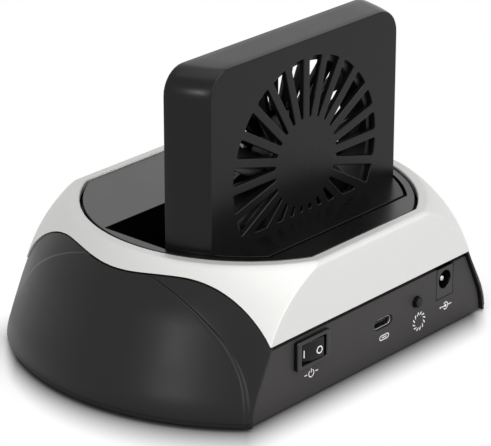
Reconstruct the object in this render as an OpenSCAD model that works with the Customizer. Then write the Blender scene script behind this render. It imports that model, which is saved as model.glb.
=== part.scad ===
// Docking station for one upright hard drive, with a fan tower behind the drive slot.
// Millimetres. +Z is up, +Y is the rear with the sockets, and z = 0 is the table top.
// The round flanks, the deck and the tower's ends are all struck from the Z axis.

/* [Drive slot] */
// Width of the drive that stands in the slot
drive_w = 101.6; // [99:0.1:104]
// Thickness of the drive that stands in the slot
drive_t = 26.1; // [22:0.1:28]
// Play beside each end of the drive
drive_play_w = 0.7; // [0.4:0.1:1.2]
// Play over the drive's thickness
drive_play_t = 0.4; // [0.2:0.1:1.2]
// Height of the well's floor above the table
well_floor_z = 16.5; // [16.5:0.5:20]
// Wall of the drive well
well_wall = 1.8; // [1.2:0.1:2.2]

/* [Body] */
// Height of the silver rim above the table
body_h = 47; // [45:0.5:52]
// Depth of the body between its front and rear flats
body_depth = 108; // [107:0.2:114]
// Deck left beyond each end of the slot
deck_margin = 4.6; // [3.6:0.1:6]
// Flat rim beside the deck's round ends
rim_w = 3.8; // [3.7:0.1:6]
// Flat rim beside the deck's straight edges
rim_flat_w = 4.6; // [4:0.1:6]
// Lean of the flanks from upright, in degrees
flank_lean = 20.5; // [14:0.5:22]
// Radius of the shoulder between flank and rim
shoulder_r = 44; // [38:1:48]
// Slope of the shoulder where it meets the rim, in degrees from upright
shoulder_top = 51; // [46:1:56]
// Radius that turns the flank upright at the table
bottom_r = 30; // [15:1:40]
// Wall of the silver shell on the flanks
shell_wall = 2.4; // [1.8:0.1:2.8]
// Wall of the front and rear aprons
apron_wall = 2.2; // [1.6:0.1:2.6]
// Thickness of the rim
rim_t = 2.2; // [1.8:0.1:2.4]
// Gap at the visible seams
seam = 0.25; // [0.15:0.05:0.4]

/* [Cheeks and panels] */
// Distance of each crest of the seam line from the middle
crest_y = 23.5; // [20:0.5:28]
// Drop of the crests below the rim
crest_drop = 3.8; // [3:0.1:5]
// Drop of the valley between the crests below the rim
valley_drop = 5.1; // [3.8:0.1:6]
// Height of the aprons' lower edge above the table
apron_z = 25.2; // [25:0.1:27]
// Half length of the raised petal at the table
petal_half = 52.8; // [48:0.2:53.4]
// Height of the petal's arch
petal_h = 43.8; // [40:0.2:46]
// Step from petal to ear at the table
petal_step = 0.6; // [0.3:0.1:1]
// Wall of the cheeks
cheek_wall = 2.2; // [1.8:0.1:2.6]
// Thickness of the front and rear panels
panel_t = 2; // [1.6:0.1:2.4]
// Set-back of the panels behind the ends of the ears
panel_recess = 1.3; // [0.8:0.1:1.5]
// Width of the ears' end faces beside the panels
ear_lip = 0.8; // [0.6:0.1:1.4]
// Drop of the panels' upper edge below the aprons
panel_drop = 1.9; // [1.2:0.1:2]
// Thickness of the base plate
base_t = 2; // [1.6:0.1:2.4]

/* [Deck] */
// Thickness of the deck plate
deck_t = 2.2; // [1.8:0.1:2.6]
// Step from the rim down to the deck
deck_drop = 0.4; // [0.2:0.1:0.6]
// Height of the screw bosses under the deck
boss_h = 2; // [1.6:0.1:2.6]
// Thickness of the chassis flange that carries the deck
flange_t = 2; // [1.6:0.1:2.4]

/* [Tower] */
// Height of the tower above the rim
tower_h = 59.7; // [59:0.1:66]
// Thickness of the tower
tower_t = 15; // [14.6:0.1:17]
// Distance of the tower's front face behind the middle
tower_y0 = 9.8; // [9.5:0.1:11.5]
// Rear edge of the tower's flush foot
foot_y1 = 39.3; // [38:0.1:42]
// Wall of the tower
tower_wall = 1.8; // [1.4:0.1:2]
// Radius of the tower's upper corners
tower_corner_r = 5.5; // [3:0.1:8]

/* [Fan] */
// Side of the square fan frame
fan_size = 70; // [68:0.5:71]
// Thickness of the fan frame
fan_t = 10; // [10:0.1:10.4]
// Distance of the fan's mounting holes from the edges of its frame
fan_hole_edge = 5; // [4.5:0.1:5.5]
// Room between the fan and the tower's roof
fan_head = 4.9; // [3:0.1:5.5]
// Wall of the fan frame beside the duct
duct_wall = 1.5; // [1.5:0.1:2.5]
// Gap between blade tips and duct
tip_gap = 0.8; // [0.5:0.1:1.5]
// Diameter of the rotor's hub
hub_d = 30; // [29:0.5:32]
// Number of blades
blade_count = 9; // [5:1:11]
// Pitch of the blades in degrees
blade_pitch = 24; // [20:1:36]
// Diameter of the fan shaft
shaft_d = 3; // [2.4:0.1:3.4]
// Number of slots in the grilles
grille_count = 24; // [16:2:28]
// Width of the ribs between the slots
rib_w = 3.1; // [2:0.1:3.6]
// Outer diameter of the ring of slots
grille_d = 71.2; // [66:0.2:72]
// Diameter of the plain disc in the grille's middle
grille_hub_d = 30.4; // [30:0.2:36]

/* [Rear panel controls] */
// Place of the power switch across the panel
switch_x = 30.4; // [28:0.1:31]
// Height of the power switch's centre
switch_z = 17.4; // [16.4:0.1:17.8]
// Width of the switch bezel
bezel_w = 16.4; // [14.6:0.1:17]
// Height of the switch bezel
bezel_h = 10.2; // [10:0.1:10.8]
// How far the bezel stands proud of the panel
bezel_proud = 1.7; // [1.2:0.1:2]
// Tilt of the rocker to either side, in degrees
rocker_tilt = 13; // [8:1:14]
// Place of the serial bus socket across the panel
usb_x = -6.8; // [-8:0.1:0]
// Place of the fan button across the panel
button_x = -24.2; // [-26:0.1:-20]
// Diameter of the fan button
button_d = 3.6; // [3:0.1:4]
// How far the fan button stands out of the panel
button_out = 1.8; // [1.4:0.1:2]
// Place of the power jack across the panel
jack_x = -39.6; // [-39.8:0.1:-36]
// Diameter of the power jack's opening
jack_bore_d = 6.4; // [6:0.1:6.6]
// Diameter of the power jack's centre pin
jack_pin_d = 2.1; // [2:0.1:2.6]

/* [Board] */
// Height of the board's upper face above the table
board_z1 = 12; // [11.6:0.1:12.4]
// Thickness of the board
board_t = 1.6; // [1.2:0.1:2]

/* [Hidden] */
$fn = 64;

// Finishes
charcoal = [0.17, 0.17, 0.18];
gloss_black = [0.05, 0.05, 0.06];
silver = [0.86, 0.86, 0.85];
steel = [0.75, 0.76, 0.78];
board_green = [0.09, 0.32, 0.19];

// Reach of cutting shapes that run right through a piece
far = 300;
fit = 0.05;

// Plan: slot, tower, deck and rim
half_depth = body_depth / 2;
panel_y1 = half_depth - panel_recess;
panel_y0 = panel_y1 - panel_t;
slot_w = drive_w + 2 * drive_play_w;
slot_t = drive_t + drive_play_t;
slot_y0 = tower_y0 - slot_t;
tower_y1 = tower_y0 + tower_t;
tower_r = norm([slot_w / 2, tower_y0]);
deck_r = slot_w / 2 + deck_margin;
deck_flat = half_depth - rim_flat_w;
rim_r = deck_r + rim_w;

// Levels
foot_out = 0.8;
base_z1 = foot_out + base_t;
deck_z1 = body_h - deck_drop;
deck_z0 = deck_z1 - deck_t;
flange_z1 = deck_z0 - boss_h;
flange_z0 = flange_z1 - flange_t;
crest_z = body_h - crest_drop;
valley_z = body_h - valley_drop;
tower_z1 = body_h + tower_h;
board_z0 = board_z1 - board_t;

// Flank outline: bottom round, straight flank and shoulder, as radius and height
function polar(r, a) = r * [cos(a), sin(a)];
function arc(c, r, a0, a1, n) = [for (i = [0:n]) c + polar(r, a0 + (a1 - a0) * i / n)];
shoulder_c = [rim_r, body_h] - polar(shoulder_r, shoulder_top);
flank_top = shoulder_c + polar(shoulder_r, flank_lean);
flank_low_z = bottom_r * sin(flank_lean);
flank_low_r = flank_top[0] + (flank_top[1] - flank_low_z) * tan(flank_lean);
bottom_c = [flank_low_r - bottom_r * cos(flank_lean), 0];
flank = concat(arc(bottom_c, bottom_r, 0, flank_lean, 3),
               arc(shoulder_c, shoulder_r, flank_lean, shoulder_top, 8));
base_r = flank[0][0];
function flank_r(z) = lookup(z, [for (p = flank) [p[1], p[0]]]);

// Seam line between shell and cheeks, as its height over y: a valley between two crests, then an ear arc
ear_r = (pow(half_depth - crest_y, 2) + pow(crest_z - apron_z, 2)) / (2 * (crest_z - apron_z));
function ear_drop(d) = ear_r - sqrt(ear_r * ear_r - d * d);
function valley_rise(y) = (crest_z - valley_z) * (1 - cos(180 * y / crest_y)) / 2;
function seam_z(y) = abs(y) < crest_y ? valley_z + valley_rise(y) : crest_z - ear_drop(abs(y) - crest_y);
least_step = 0.08;
function ear_set_back(z) = least_step + petal_step * max(0, 1 - z / crest_z);
seam_steps = 15;
seam_line = [for (i = [-seam_steps:seam_steps]) let (y = half_depth * i / seam_steps) [y, seam_z(y)]];
panel_z0 = foot_out;
panel_z1 = apron_z - panel_drop;

// Screw posts of the shell, cheek bosses and feet, in plan
four_ways = [[1, 1], [1, -1], [-1, 1], [-1, -1]];
function mirrored(p) = [for (w = four_ways) [p[0] * w[0], p[1] * w[1]]];
post_d = 6.4;
shell_posts = mirrored(polar(rim_r + 1.7, 38.5));
cheek_boss_d = 5.4;
cheek_bosses = mirrored(polar(base_r - 5.3, 13));
cheek_boss_h = 10;
foot_d = 10;
foot_h = 1.6;
feet_at = mirrored(polar(base_r - 14, 27));
rim_boss_d = 4.6;
rim_bosses = mirrored(polar(deck_r + rim_w / 2 + 0.6, 22));
deck_bosses = concat([for (s = [-1, 1]) [s * 30, (slot_y0 - deck_flat) / 2 - 3]],
                     [for (s = [-1, 1]) [s * 16, (foot_y1 + deck_flat) / 2]]);
tower_bosses = [for (s = [-1, 1]) [s * 24, (tower_y1 + foot_y1) / 2]];
deck_boss_d = 5;

// Screws: shank, length under the head, head and its height
base_screw = [2.9, 8, 5.4, 1];
board_screw = [2.4, 6, 4.4, 1.2];
chassis_screw = [2, 4.8, 3.6, 1.1];
fan_screw = [2, 7, 5.4, 1];
base_screws_at = concat(shell_posts, cheek_bosses);
base_seat_z = foot_out + base_screw[3] + 0.1;
chassis_screws_at = concat(rim_bosses, deck_bosses, tower_bosses);

// Fan, from its front face backwards, with its axis along Y
fan_z = tower_z1 - tower_wall - fan_head - fan_size / 2;
fan_pitch = fan_size - 2 * fan_hole_edge;
duct_d = fan_size - 2 * duct_wall;
fan_y0 = tower_y1 - tower_wall - 0.2 - fan_t;
fan_holes = mirrored([fan_pitch / 2, fan_pitch / 2]);
peg_d = 4;
strut_t = 1.5;
bearing_d = 6;
bearing_tube_d = 8.4;
hub_top = fan_t - 0.5;
hub_top_t = 1.6;
hub_wall = 1.4;
hub_low = strut_t + 0.6;
blade_t = 1.2;
blade_r = duct_d / 2 - tip_gap;
magnet_t = 0.85;
stator_r = hub_d / 2 - hub_wall - magnet_t - 0.55;
stator_y = [2.9, 6.7];
grille_floor = body_h + 1;
skirt_z = fan_z - fan_size / 2 - 0.4;
skirt_w = fan_size + 5;

// Front cover supports in the tower
cover_post_d = 4.6;
cover_pin_d = 1.8;
cover_pin_l = 4;
cover_posts = [for (s = [-1, 1], z = [fan_z - 13, tower_z1 - 9]) [s * (fan_size / 2 + 5.3), z]];

// Board and what stands on it
board_x = [-43, 18];
board_rear = panel_y0 - 0.5;
board_y = [tower_y0 - 12.5, board_rear];
board_holes_left = [[board_x[0] + 5, tower_y0 + 7.5], [-15.4, board_rear - 5.8]];
board_holes = [for (p = board_holes_left, x = [p[0], board_x[1] - 5]) [x, p[1]]];
standoff_d = 5.6;
sata_w = 42;
sata_t = 6.4;
sata_h = 8.6;
sata_x = -20.7;
sata_y = tower_y0 - 5;
usb_w = 8.94;
usb_h = 3.26;
usb_len = 7.3;
usb_wall = 0.3;
usb_in = 0.7;
usb_z = board_z1 + usb_h / 2;
jack_w = 9;
jack_h = 11;
jack_len = 14.2;
jack_z = board_z1 + 6.5;
jack_bore_len = 9.5;
jack_pin_in = 1;
button_z = board_z1 + 3.4;
button_travel = 0.8;
button_switch_w = 7;
button_switch_y = [panel_y1 - 10.5, panel_y1 - 5];
stem_d = 2.8;
stem_in = 3;
collar_d = button_d + 2;
chip_at = [-5, board_rear - 24.8];
inductor_at = [-31, board_rear - 22.8];
capacitor_d = 6.3;
capacitor_h = 7.5;
capacitors_at = [[3, board_rear - 14.8], [-26, board_rear - 15.8]];
header_at = [10, board_rear - 23.8];
header_h = 5.8;

// Rocker switch: pivot line upright, front face a flat that tilts about it
housing_w = 13.2;
housing_h = 9;
housing_len = 13;
rocker_half = 5.2;
rocker_face = 2.6;
rocker_fall = rocker_half * tan(9);
rocker_sweep_r = norm([rocker_half, rocker_face]) + 0.2;
cavity_w = 2 * rocker_sweep_r;
cavity_h = 7.4;
rocker_h = 7;
pivot_y = panel_y1 - 1.1;
pivot_d = 2.4;
pivot_l = 0.5;
terminal_len = 7;

// Front lens
led_d = 3;
led_out = 0.6;
led_z = 15;
led_len = 6.5;

// Cutting and forming shapes
module between_flats(inset = 0) {
    intersection() {
        children();
        cube([far, body_depth - 2 * inset, far], center = true);
    }
}
// Body struck about Z, with its flank drawn in by inset, and by taper more towards the table
module flank_solid(inset = 0, taper = 0) {
    rotate_extrude()
        polygon(concat([[0, 0]],
                       [for (p = flank) [p[0] - inset - taper * max(0, 1 - p[1] / crest_z), p[1]]],
                       [[0, body_h]]));
}
// Side view outline in y and z, run through from side to side
module side_prism(points) {
    rotate([90, 0, 90])
        linear_extrude(far, center = true)
            polygon(points);
}
module above_seam(shift) {
    edge = half_depth + 9;
    side_prism(concat([[-edge, apron_z + shift]],
                      [for (p = seam_line) [p[0], p[1] + shift]],
                      [[edge, apron_z + shift], [edge, body_h + 9], [-edge, body_h + 9]]));
}
module below_seam(shift, z0) {
    edge = half_depth + 9;
    side_prism(concat([[-edge, apron_z - shift]],
                      [for (p = seam_line) [p[0], p[1] - shift]],
                      [[edge, apron_z - shift], [edge, z0], [-edge, z0]]));
}
module petal_prism() {
    side_prism([for (a = [-6:6:186]) [petal_half * cos(a), petal_h * sin(a)]]);
}
// Raised petal with the ears set back from it by a step that fades upwards
module petalled_solid() {
    intersection() {
        flank_solid();
        petal_prism();
    }
    flank_solid(least_step, petal_step);
}
// Panel between the ears' end faces, and the room that cheeks and base leave for it at both ends
panel_steps = 5;
function ear_half(z) = sqrt(pow(flank_r(z) - ear_set_back(z), 2) - half_depth * half_depth);
module panel_outline(z0, z1, gap = 0) {
    edge = [for (i = [0:panel_steps]) let (z = z0 + (z1 - z0) * i / panel_steps)
        [ear_half(max(z, 0)) - ear_lip - seam + gap, z]];
    polygon(concat([for (p = edge) [p[0], -p[1]]],
                   [for (i = [panel_steps:-1:0]) [-edge[i][0], -edge[i][1]]]));
}
module panel_rooms() {
    for (s = [0, 1])
        mirror([0, s, 0])
            along_y(panel_y0 - seam)
                linear_extrude(far)
                    panel_outline(-1, apron_z + 1, seam);
}
module deck_outline(gap = 0) {
    intersection() {
        circle(deck_r + gap);
        square([far, 2 * (deck_flat + gap)], center = true);
    }
}
// Plan of the tower with its foot, open to the slot in front
module tower_plan(gap = 0) {
    intersection() {
        circle(tower_r + gap);
        translate([-far / 2, tower_y0])
            square([far, foot_y1 - tower_y0 + gap]);
    }
}
module slot_box(z0, z1) {
    translate([-slot_w / 2, slot_y0, z0])
        cube([slot_w, slot_t, z1 - z0]);
}
module pegs(places, d, z0, z1) {
    for (p = places)
        translate([p[0], p[1], z0])
            cylinder(d = d, h = z1 - z0);
}
module along_y(y, z = 0, x = 0) {
    translate([x, y, z])
        rotate([-90, 0, 0])
            children();
}
// Screw with its head's bearing face at z = 0 and its shank upwards
module screw(s) {
    difference() {
        union() {
            cylinder(d = s[0], h = s[1]);
            translate([0, 0, -s[3]])
                cylinder(d = s[2], h = s[3]);
        }
        for (a = [0, 90])
            rotate(a)
                translate([-s[2] * 0.32, -s[2] * 0.07, -s[3]])
                    cube([s[2] * 0.64, s[2] * 0.14, s[3] * 0.6]);
    }
}
// Ring of slots between radial ribs of even width, cut off below the deck
module grille_slots(depth) {
    linear_extrude(depth)
        intersection() {
            difference() {
                circle(d = grille_d);
                circle(d = grille_hub_d);
                for (i = [0:grille_count - 1])
                    rotate(360 / grille_count * i)
                        translate([0, -rib_w / 2])
                            square([grille_d, rib_w]);
            }
            translate([-far / 2, -far])
                square([far, far + fan_z - grille_floor]);
        }
}
// Wire swept along hand-placed points
wire_sides = 8;
function unit(v) = v / norm(v);
function heading(pts, i) = unit(pts[min(i + 1, len(pts) - 1)] - pts[max(i - 1, 0)]);
function wire_ring(p, t, r, ref) = let (u = unit(cross(t, ref)), v = cross(t, u))
    [for (k = [0:wire_sides - 1]) p + r * (cos(360 * k / wire_sides) * u + sin(360 * k / wire_sides) * v)];
module wire(pts, d, ref) {
    last = len(pts) - 1;
    rings = [for (i = [0:last]) each wire_ring(pts[i], heading(pts, i), d / 2, ref)];
    n = wire_sides;
    sides = [for (i = [0:last - 1], k = [0:n - 1]) let (a = i * n + k, b = i * n + (k + 1) % n)
        each [[a, b, b + n], [a, b + n, a + n]]];
    caps = [for (k = [1:n - 2]) each [[0, k + 1, k], [last * n, last * n + k, last * n + k + 1]]];
    polyhedron(rings, concat(sides, caps));
}

// Housing
module base_plate() {
    color(charcoal)
        difference() {
            union() {
                intersection() {
                    between_flats()
                        petalled_solid();
                    translate([0, 0, foot_out])
                        cylinder(r1 = base_r - 0.9, r2 = base_r + base_t - 0.9, h = base_t);
                }
                pegs(board_holes, standoff_d, base_z1 - 0.5, board_z0);
            }
            pegs(base_screws_at, base_screw[0] + 0.3, -1, base_z1 + 1);
            pegs(base_screws_at, base_screw[2] + 0.4, -1, base_seat_z);
            pegs(feet_at, foot_d + 0.2, -1, foot_h);
            pegs(board_holes, board_screw[0] + 2 * fit, board_z0 - board_screw[1] - 0.5, board_z0 + 1);
            panel_rooms();
        }
}

module side_cheek() {
    color(charcoal)
        difference() {
            union() {
                difference() {
                    intersection() {
                        between_flats()
                            petalled_solid();
                        below_seam(seam / 2, base_z1 + seam / 2);
                        translate([0, -far / 2, 0])
                            cube([far, far, body_h]);
                    }
                    flank_solid(cheek_wall);
                }
                intersection() {
                    pegs([cheek_bosses[0], cheek_bosses[1]], cheek_boss_d, base_z1, base_z1 + cheek_boss_h);
                    flank_solid(petal_step + least_step + 0.4);
                }
            }
            pegs(cheek_bosses, base_screw[0] + 2 * fit, 0, base_z1 + cheek_boss_h - 1);
            panel_rooms();
        }
}
module side_cheek_right() {
    side_cheek();
}
module side_cheek_left() {
    mirror([1, 0, 0])
        side_cheek();
}

module top_shell() {
    color(silver)
        difference() {
            union() {
                difference() {
                    intersection() {
                        between_flats()
                            flank_solid();
                        above_seam(seam / 2);
                    }
                    intersection() {
                        between_flats(apron_wall)
                            flank_solid(shell_wall);
                        translate([0, 0, -far + body_h - rim_t])
                            cylinder(r = far, h = far);
                    }
                }
                intersection() {
                    pegs(shell_posts, post_d, base_z1, body_h);
                    flank_solid(shell_wall / 2);
                }
                pegs(rim_bosses, rim_boss_d, flange_z1, body_h - rim_t + 0.5);
            }
            translate([0, 0, deck_z0 - 1])
                linear_extrude(far)
                    deck_outline(seam);
            pegs(shell_posts, base_screw[0] + 2 * fit, 0, base_screw[1] + 4);
            pegs(rim_bosses, chassis_screw[0] + 2 * fit, 0, body_h - 1);
        }
}

// Panel between the cheeks' ears, with a tongue that stands behind the apron
tongue_w = 84;
tongue_t = 1.6;
tongue_rise = 3.5;
module panel_blank() {
    along_y(panel_y0)
        linear_extrude(panel_t)
            panel_outline(panel_z0, panel_z1);
    tongue_y = half_depth - apron_wall - seam - tongue_t;
    translate([-tongue_w / 2, tongue_y, panel_z1 - 4])
        cube([tongue_w, tongue_t, 4 + apron_z - panel_z1 + tongue_rise]);
    translate([-tongue_w / 2, tongue_y, panel_z1 - 4])
        cube([tongue_w, panel_y0 - tongue_y, 4]);
}
module usb_outline(grow = 0) {
    for (s = [-1, 1])
        translate([s * (usb_w - usb_h) / 2, 0])
            circle(d = usb_h + 2 * grow);
    square([usb_w - usb_h, usb_h + 2 * grow], center = true);
}
module rear_panel() {
    color(charcoal)
        difference() {
            panel_blank();
            along_y(panel_y0 - 1, usb_z, usb_x)
                linear_extrude(panel_t + 2)
                    usb_outline(0.3);
            along_y(panel_y0 - 1, button_z, button_x)
                cylinder(d = button_d + 0.3, h = panel_t + 2);
            translate([jack_x - jack_w / 2 - 0.15, panel_y1 - 5, board_z1 - 0.15])
                cube([jack_w + 0.3, 6, far]);
            translate([switch_x - housing_w / 2 - 0.1, panel_y1 - 5, switch_z - housing_h / 2 - 0.1])
                cube([housing_w + 0.2, 6, housing_h + 0.2]);
        }
}
module front_panel() {
    color(charcoal)
        difference() {
            mirror([0, 1, 0])
                panel_blank();
            along_y(-panel_y1 - 1, led_z)
                cylinder(d = led_d + 2 * fit, h = panel_t + 2);
        }
}
module status_led() {
    color([0.85, 0.9, 1])
        along_y(-panel_y1 - led_out, led_z) {
            cylinder(d = led_d, h = led_out + panel_t);
            translate([0, 0, led_out + panel_t])
                cylinder(d = led_d + 0.8, h = 1);
            translate([0, 0, led_out + panel_t + 1])
                cylinder(d = led_d, h = led_len - panel_t - led_out);
        }
}
module rubber_feet() {
    color([0.1, 0.1, 0.1])
        pegs(feet_at, foot_d, 0, foot_h);
}

// Deck and chassis
module deck() {
    color(gloss_black)
        difference() {
            union() {
                translate([0, 0, deck_z0])
                    linear_extrude(deck_t)
                        deck_outline();
                pegs(deck_bosses, deck_boss_d, flange_z1, deck_z0 + 0.5);
            }
            slot_box(0, far);
            translate([0, 0, deck_z0 - 1])
                linear_extrude(far)
                    tower_plan(seam);
            pegs(deck_bosses, chassis_screw[0] + 2 * fit, 0, deck_z1 - 0.8);
        }
}
module drive_well() {
    well_x = slot_w / 2 + well_wall;
    color(gloss_black)
        difference() {
            union() {
                translate([0, 0, flange_z0])
                    linear_extrude(flange_t)
                        intersection() {
                            circle(rim_r + 1);
                            square([far, 2 * (half_depth - apron_wall - 0.5)], center = true);
                        }
                translate([-well_x, slot_y0 - well_wall, well_floor_z - well_wall])
                    cube([2 * well_x, slot_t + 2 * well_wall, flange_z1 - well_floor_z + well_wall]);
                translate([-well_x, slot_y0 - well_wall, flange_z0])
                    cube([2 * well_x, slot_t + well_wall, deck_z0 - flange_z0]);
            }
            slot_box(well_floor_z, far);
            translate([sata_x - sata_w / 2 - 0.4, sata_y - sata_t / 2 - 0.4, 0])
                cube([sata_w + 0.8, sata_t + 0.8, far]);
            translate([-skirt_w / 2 - 0.5, tower_y0 + well_wall + 0.2, flange_z0 - 1])
                cube([skirt_w + 1, tower_t - well_wall + 0.1, far]);
            pegs(shell_posts, post_d + 0.8, 0, far);
            pegs(chassis_screws_at, chassis_screw[0] + 0.3, flange_z0 - 1, flange_z1 + 1);
        }
}

// Fan tower
module tower_block(inset, y0, y1, z0) {
    corner_c = [tower_r - tower_corner_r, tower_z1 - tower_corner_r];
    intersection() {
        rotate_extrude()
            polygon(concat([[0, z0], [tower_r - inset, z0]],
                           arc(corner_c, tower_corner_r - inset, 0, 90, 6),
                           [[0, tower_z1 - inset]]));
        translate([-far / 2, y0, 0])
            cube([far, y1 - y0, far]);
    }
}
module tower_shell() {
    inner_y = tower_y1 - tower_wall;
    color(gloss_black)
        difference() {
            union() {
                difference() {
                    tower_block(0, tower_y0, tower_y1, flange_z1);
                    tower_block(tower_wall, tower_y0 - 1, inner_y, flange_z1 - 1);
                }
                translate([0, 0, deck_z0])
                    linear_extrude(deck_t)
                        intersection() {
                            tower_plan();
                            translate([-far / 2, inner_y])
                                square([far, far]);
                        }
                translate([-skirt_w / 2, inner_y, skirt_z])
                    cube([skirt_w, tower_wall, flange_z1 + 1 - skirt_z]);
                along_y(fan_y0 + 1.5, fan_z)
                    pegs(fan_holes, peg_d, 0, inner_y - fan_y0 - 1.5 + 0.3);
                for (p = cover_posts)
                    along_y(tower_y0 + tower_wall, p[1], p[0])
                        cylinder(d = cover_post_d, h = inner_y - tower_y0 - tower_wall + 0.3);
                pegs(tower_bosses, deck_boss_d, flange_z1, deck_z0 + 0.5);
            }
            along_y(inner_y - 1, fan_z)
                grille_slots(tower_wall + 2);
            along_y(fan_y0, fan_z)
                pegs(fan_holes, fan_screw[0] + 2 * fit, 0, fan_screw[1] + 0.5);
            for (p = cover_posts)
                along_y(tower_y0, p[1], p[0])
                    cylinder(d = cover_pin_d + 2 * fit, h = 7);
            pegs(tower_bosses, chassis_screw[0] + 2 * fit, 0, deck_z1 - 0.8);
        }
}
module tower_front() {
    color(gloss_black) {
        difference() {
            tower_block(tower_wall + seam / 2, tower_y0, tower_y0 + tower_wall, flange_z1);
            along_y(tower_y0 - 1, fan_z)
                grille_slots(tower_wall + 2);
        }
        for (p = cover_posts)
            along_y(tower_y0 + tower_wall - 0.3, p[1], p[0])
                cylinder(d = cover_pin_d, h = cover_pin_l);
    }
}

// Fan
module fan_frame() {
    corner = 3;
    color(gloss_black)
        along_y(fan_y0, fan_z) {
            difference() {
                linear_extrude(fan_t)
                    union() {
                        square([fan_size, fan_size - 2 * corner], center = true);
                        square([fan_size - 2 * corner, fan_size], center = true);
                        for (p = mirrored([fan_size / 2 - corner, fan_size / 2 - corner]))
                            translate(p)
                                circle(corner);
                    }
                translate([0, 0, -1])
                    cylinder(d = duct_d, h = fan_t + 2);
                pegs(fan_holes, peg_d + 0.3, -1, fan_t + 1);
            }
            difference() {
                union() {
                    cylinder(d = hub_d - 2, h = strut_t);
                    for (a = [45:90:315])
                        rotate(a)
                            translate([0, -1.5, 0])
                                cube([duct_d / 2 + 0.8, 3, strut_t]);
                    cylinder(d = bearing_tube_d, h = stator_y[1] + 0.3);
                }
                translate([0, 0, 0.6])
                    cylinder(d = bearing_d + 2 * fit, h = fan_t);
            }
        }
}
module fan_bearing() {
    color([0.72, 0.55, 0.3])
        along_y(fan_y0 + 0.6, fan_z)
            difference() {
                cylinder(d = bearing_d, h = stator_y[1] - 0.4);
                translate([0, 0, -1])
                    cylinder(d = shaft_d + 0.08, h = fan_t);
            }
}
module fan_stator() {
    color([0.45, 0.46, 0.5])
        along_y(fan_y0 + stator_y[0], fan_z)
            difference() {
                intersection() {
                    union() {
                        cylinder(d = bearing_tube_d + 4, h = stator_y[1] - stator_y[0]);
                        for (a = [0:90:270])
                            rotate(a) {
                                translate([0, -1.5, 0])
                                    cube([stator_r, 3, stator_y[1] - stator_y[0]]);
                                translate([stator_r - 1.6, -5.5, 0])
                                    cube([2, 11, stator_y[1] - stator_y[0]]);
                            }
                    }
                    cylinder(r = stator_r, h = fan_t);
                }
                translate([0, 0, -1])
                    cylinder(d = bearing_tube_d + 2 * fit, h = fan_t);
            }
}
module fan_windings() {
    arm = stator_y[1] - stator_y[0];
    coil_x = [bearing_tube_d / 2 + 2.4, stator_r - 1.8];
    color([0.72, 0.4, 0.18])
        along_y(fan_y0 + stator_y[0], fan_z)
            for (a = [0:90:270])
                rotate(a)
                    difference() {
                        translate([coil_x[0], -2.4, -0.7])
                            cube([coil_x[1] - coil_x[0], 4.8, arm + 1.4]);
                        translate([0, -1.5 - fit, -fit])
                            cube([fan_size, 3 + 2 * fit, arm + 2 * fit]);
                    }
}
module fan_magnet() {
    outer = hub_d / 2 - hub_wall - fit;
    color([0.3, 0.3, 0.32])
        along_y(fan_y0 + hub_low + 0.2, fan_z)
            difference() {
                cylinder(r = outer, h = hub_top - hub_top_t - hub_low - 0.3);
                translate([0, 0, -1])
                    cylinder(r = outer - magnet_t, h = fan_t);
            }
}
module fan_shaft() {
    color(steel)
        along_y(fan_y0 + 1, fan_z)
            cylinder(d = shaft_d, h = hub_top - 0.3 - 1);
}
module fan_rotor() {
    root_r = hub_d / 2 - 2;
    tip_half = (hub_top - hub_low - 0.6 - blade_t * cos(blade_pitch)) / sin(blade_pitch) / 2;
    root_half = 0.65 * tip_half;
    color(gloss_black)
        along_y(fan_y0, fan_z)
            difference() {
                union() {
                    difference() {
                        translate([0, 0, hub_low])
                            cylinder(d = hub_d, h = hub_top - hub_low);
                        cylinder(d = hub_d - 2 * hub_wall, h = hub_top - hub_top_t);
                    }
                    translate([0, 0, hub_top - hub_top_t - 0.6])
                        cylinder(d = shaft_d + 2.4, h = 1);
                    difference() {
                        intersection() {
                            for (i = [0:blade_count - 1])
                                rotate(360 / blade_count * i)
                                    translate([0, 0, (hub_low + hub_top) / 2])
                                        rotate([blade_pitch, 0, 0])
                                            linear_extrude(blade_t, center = true)
                                                polygon([[root_r, -root_half], [blade_r + 1, -tip_half],
                                                         [blade_r + 1, tip_half], [root_r, root_half]]);
                            cylinder(r = blade_r, h = fan_t);
                        }
                        cylinder(d = hub_d - hub_wall, h = fan_t);
                    }
                }
                cylinder(d = shaft_d + 0.02, h = hub_top - 0.3);
            }
}
module fan_screws() {
    color(steel)
        for (p = fan_holes)
            along_y(fan_y0, fan_z + p[1], p[0])
                screw(fan_screw);
}

// Electrics
module on_board(at) {
    translate([at[0], at[1], board_z1])
        children();
}
module main_board() {
    color(board_green)
        difference() {
            translate([board_x[0], board_y[0], board_z0])
                cube([board_x[1] - board_x[0], board_y[1] - board_y[0], board_t]);
            pegs(board_holes, board_screw[0] + 0.3, board_z0 - 1, board_z1 + 1);
        }
}
// Two keyed mouths, a long one for power and a short one for signals
sata_mouths = [[-17.2, 21.4], [8, 11.2]];
module sata_socket() {
    color(gloss_black)
        difference() {
            on_board([sata_x - sata_w / 2, sata_y - sata_t / 2])
                cube([sata_w, sata_t, sata_h]);
            for (m = sata_mouths)
                on_board([sata_x + m[0], sata_y - 0.8])
                    translate([0, 0, sata_h - 5.5]) {
                        cube([m[1], 2.2, 6]);
                        cube([1.2, 3, 6]);
                    }
        }
}
module sata_contacts() {
    pitch = 1.27;
    color([0.85, 0.7, 0.35])
        for (m = sata_mouths)
            for (i = [1:floor((m[1] - 1.6) / pitch)])
                on_board([sata_x + m[0] + 0.6 + i * pitch, sata_y - 0.8])
                    translate([0, 0, sata_h - 5.5])
                        cube([0.6, 0.3, 4.8]);
}
module bridge_chip() {
    chip = 9;
    color([0.08, 0.08, 0.08])
        on_board(chip_at)
            translate([-chip / 2, -chip / 2, 0])
                cube([chip, chip, 1.1]);
}
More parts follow.
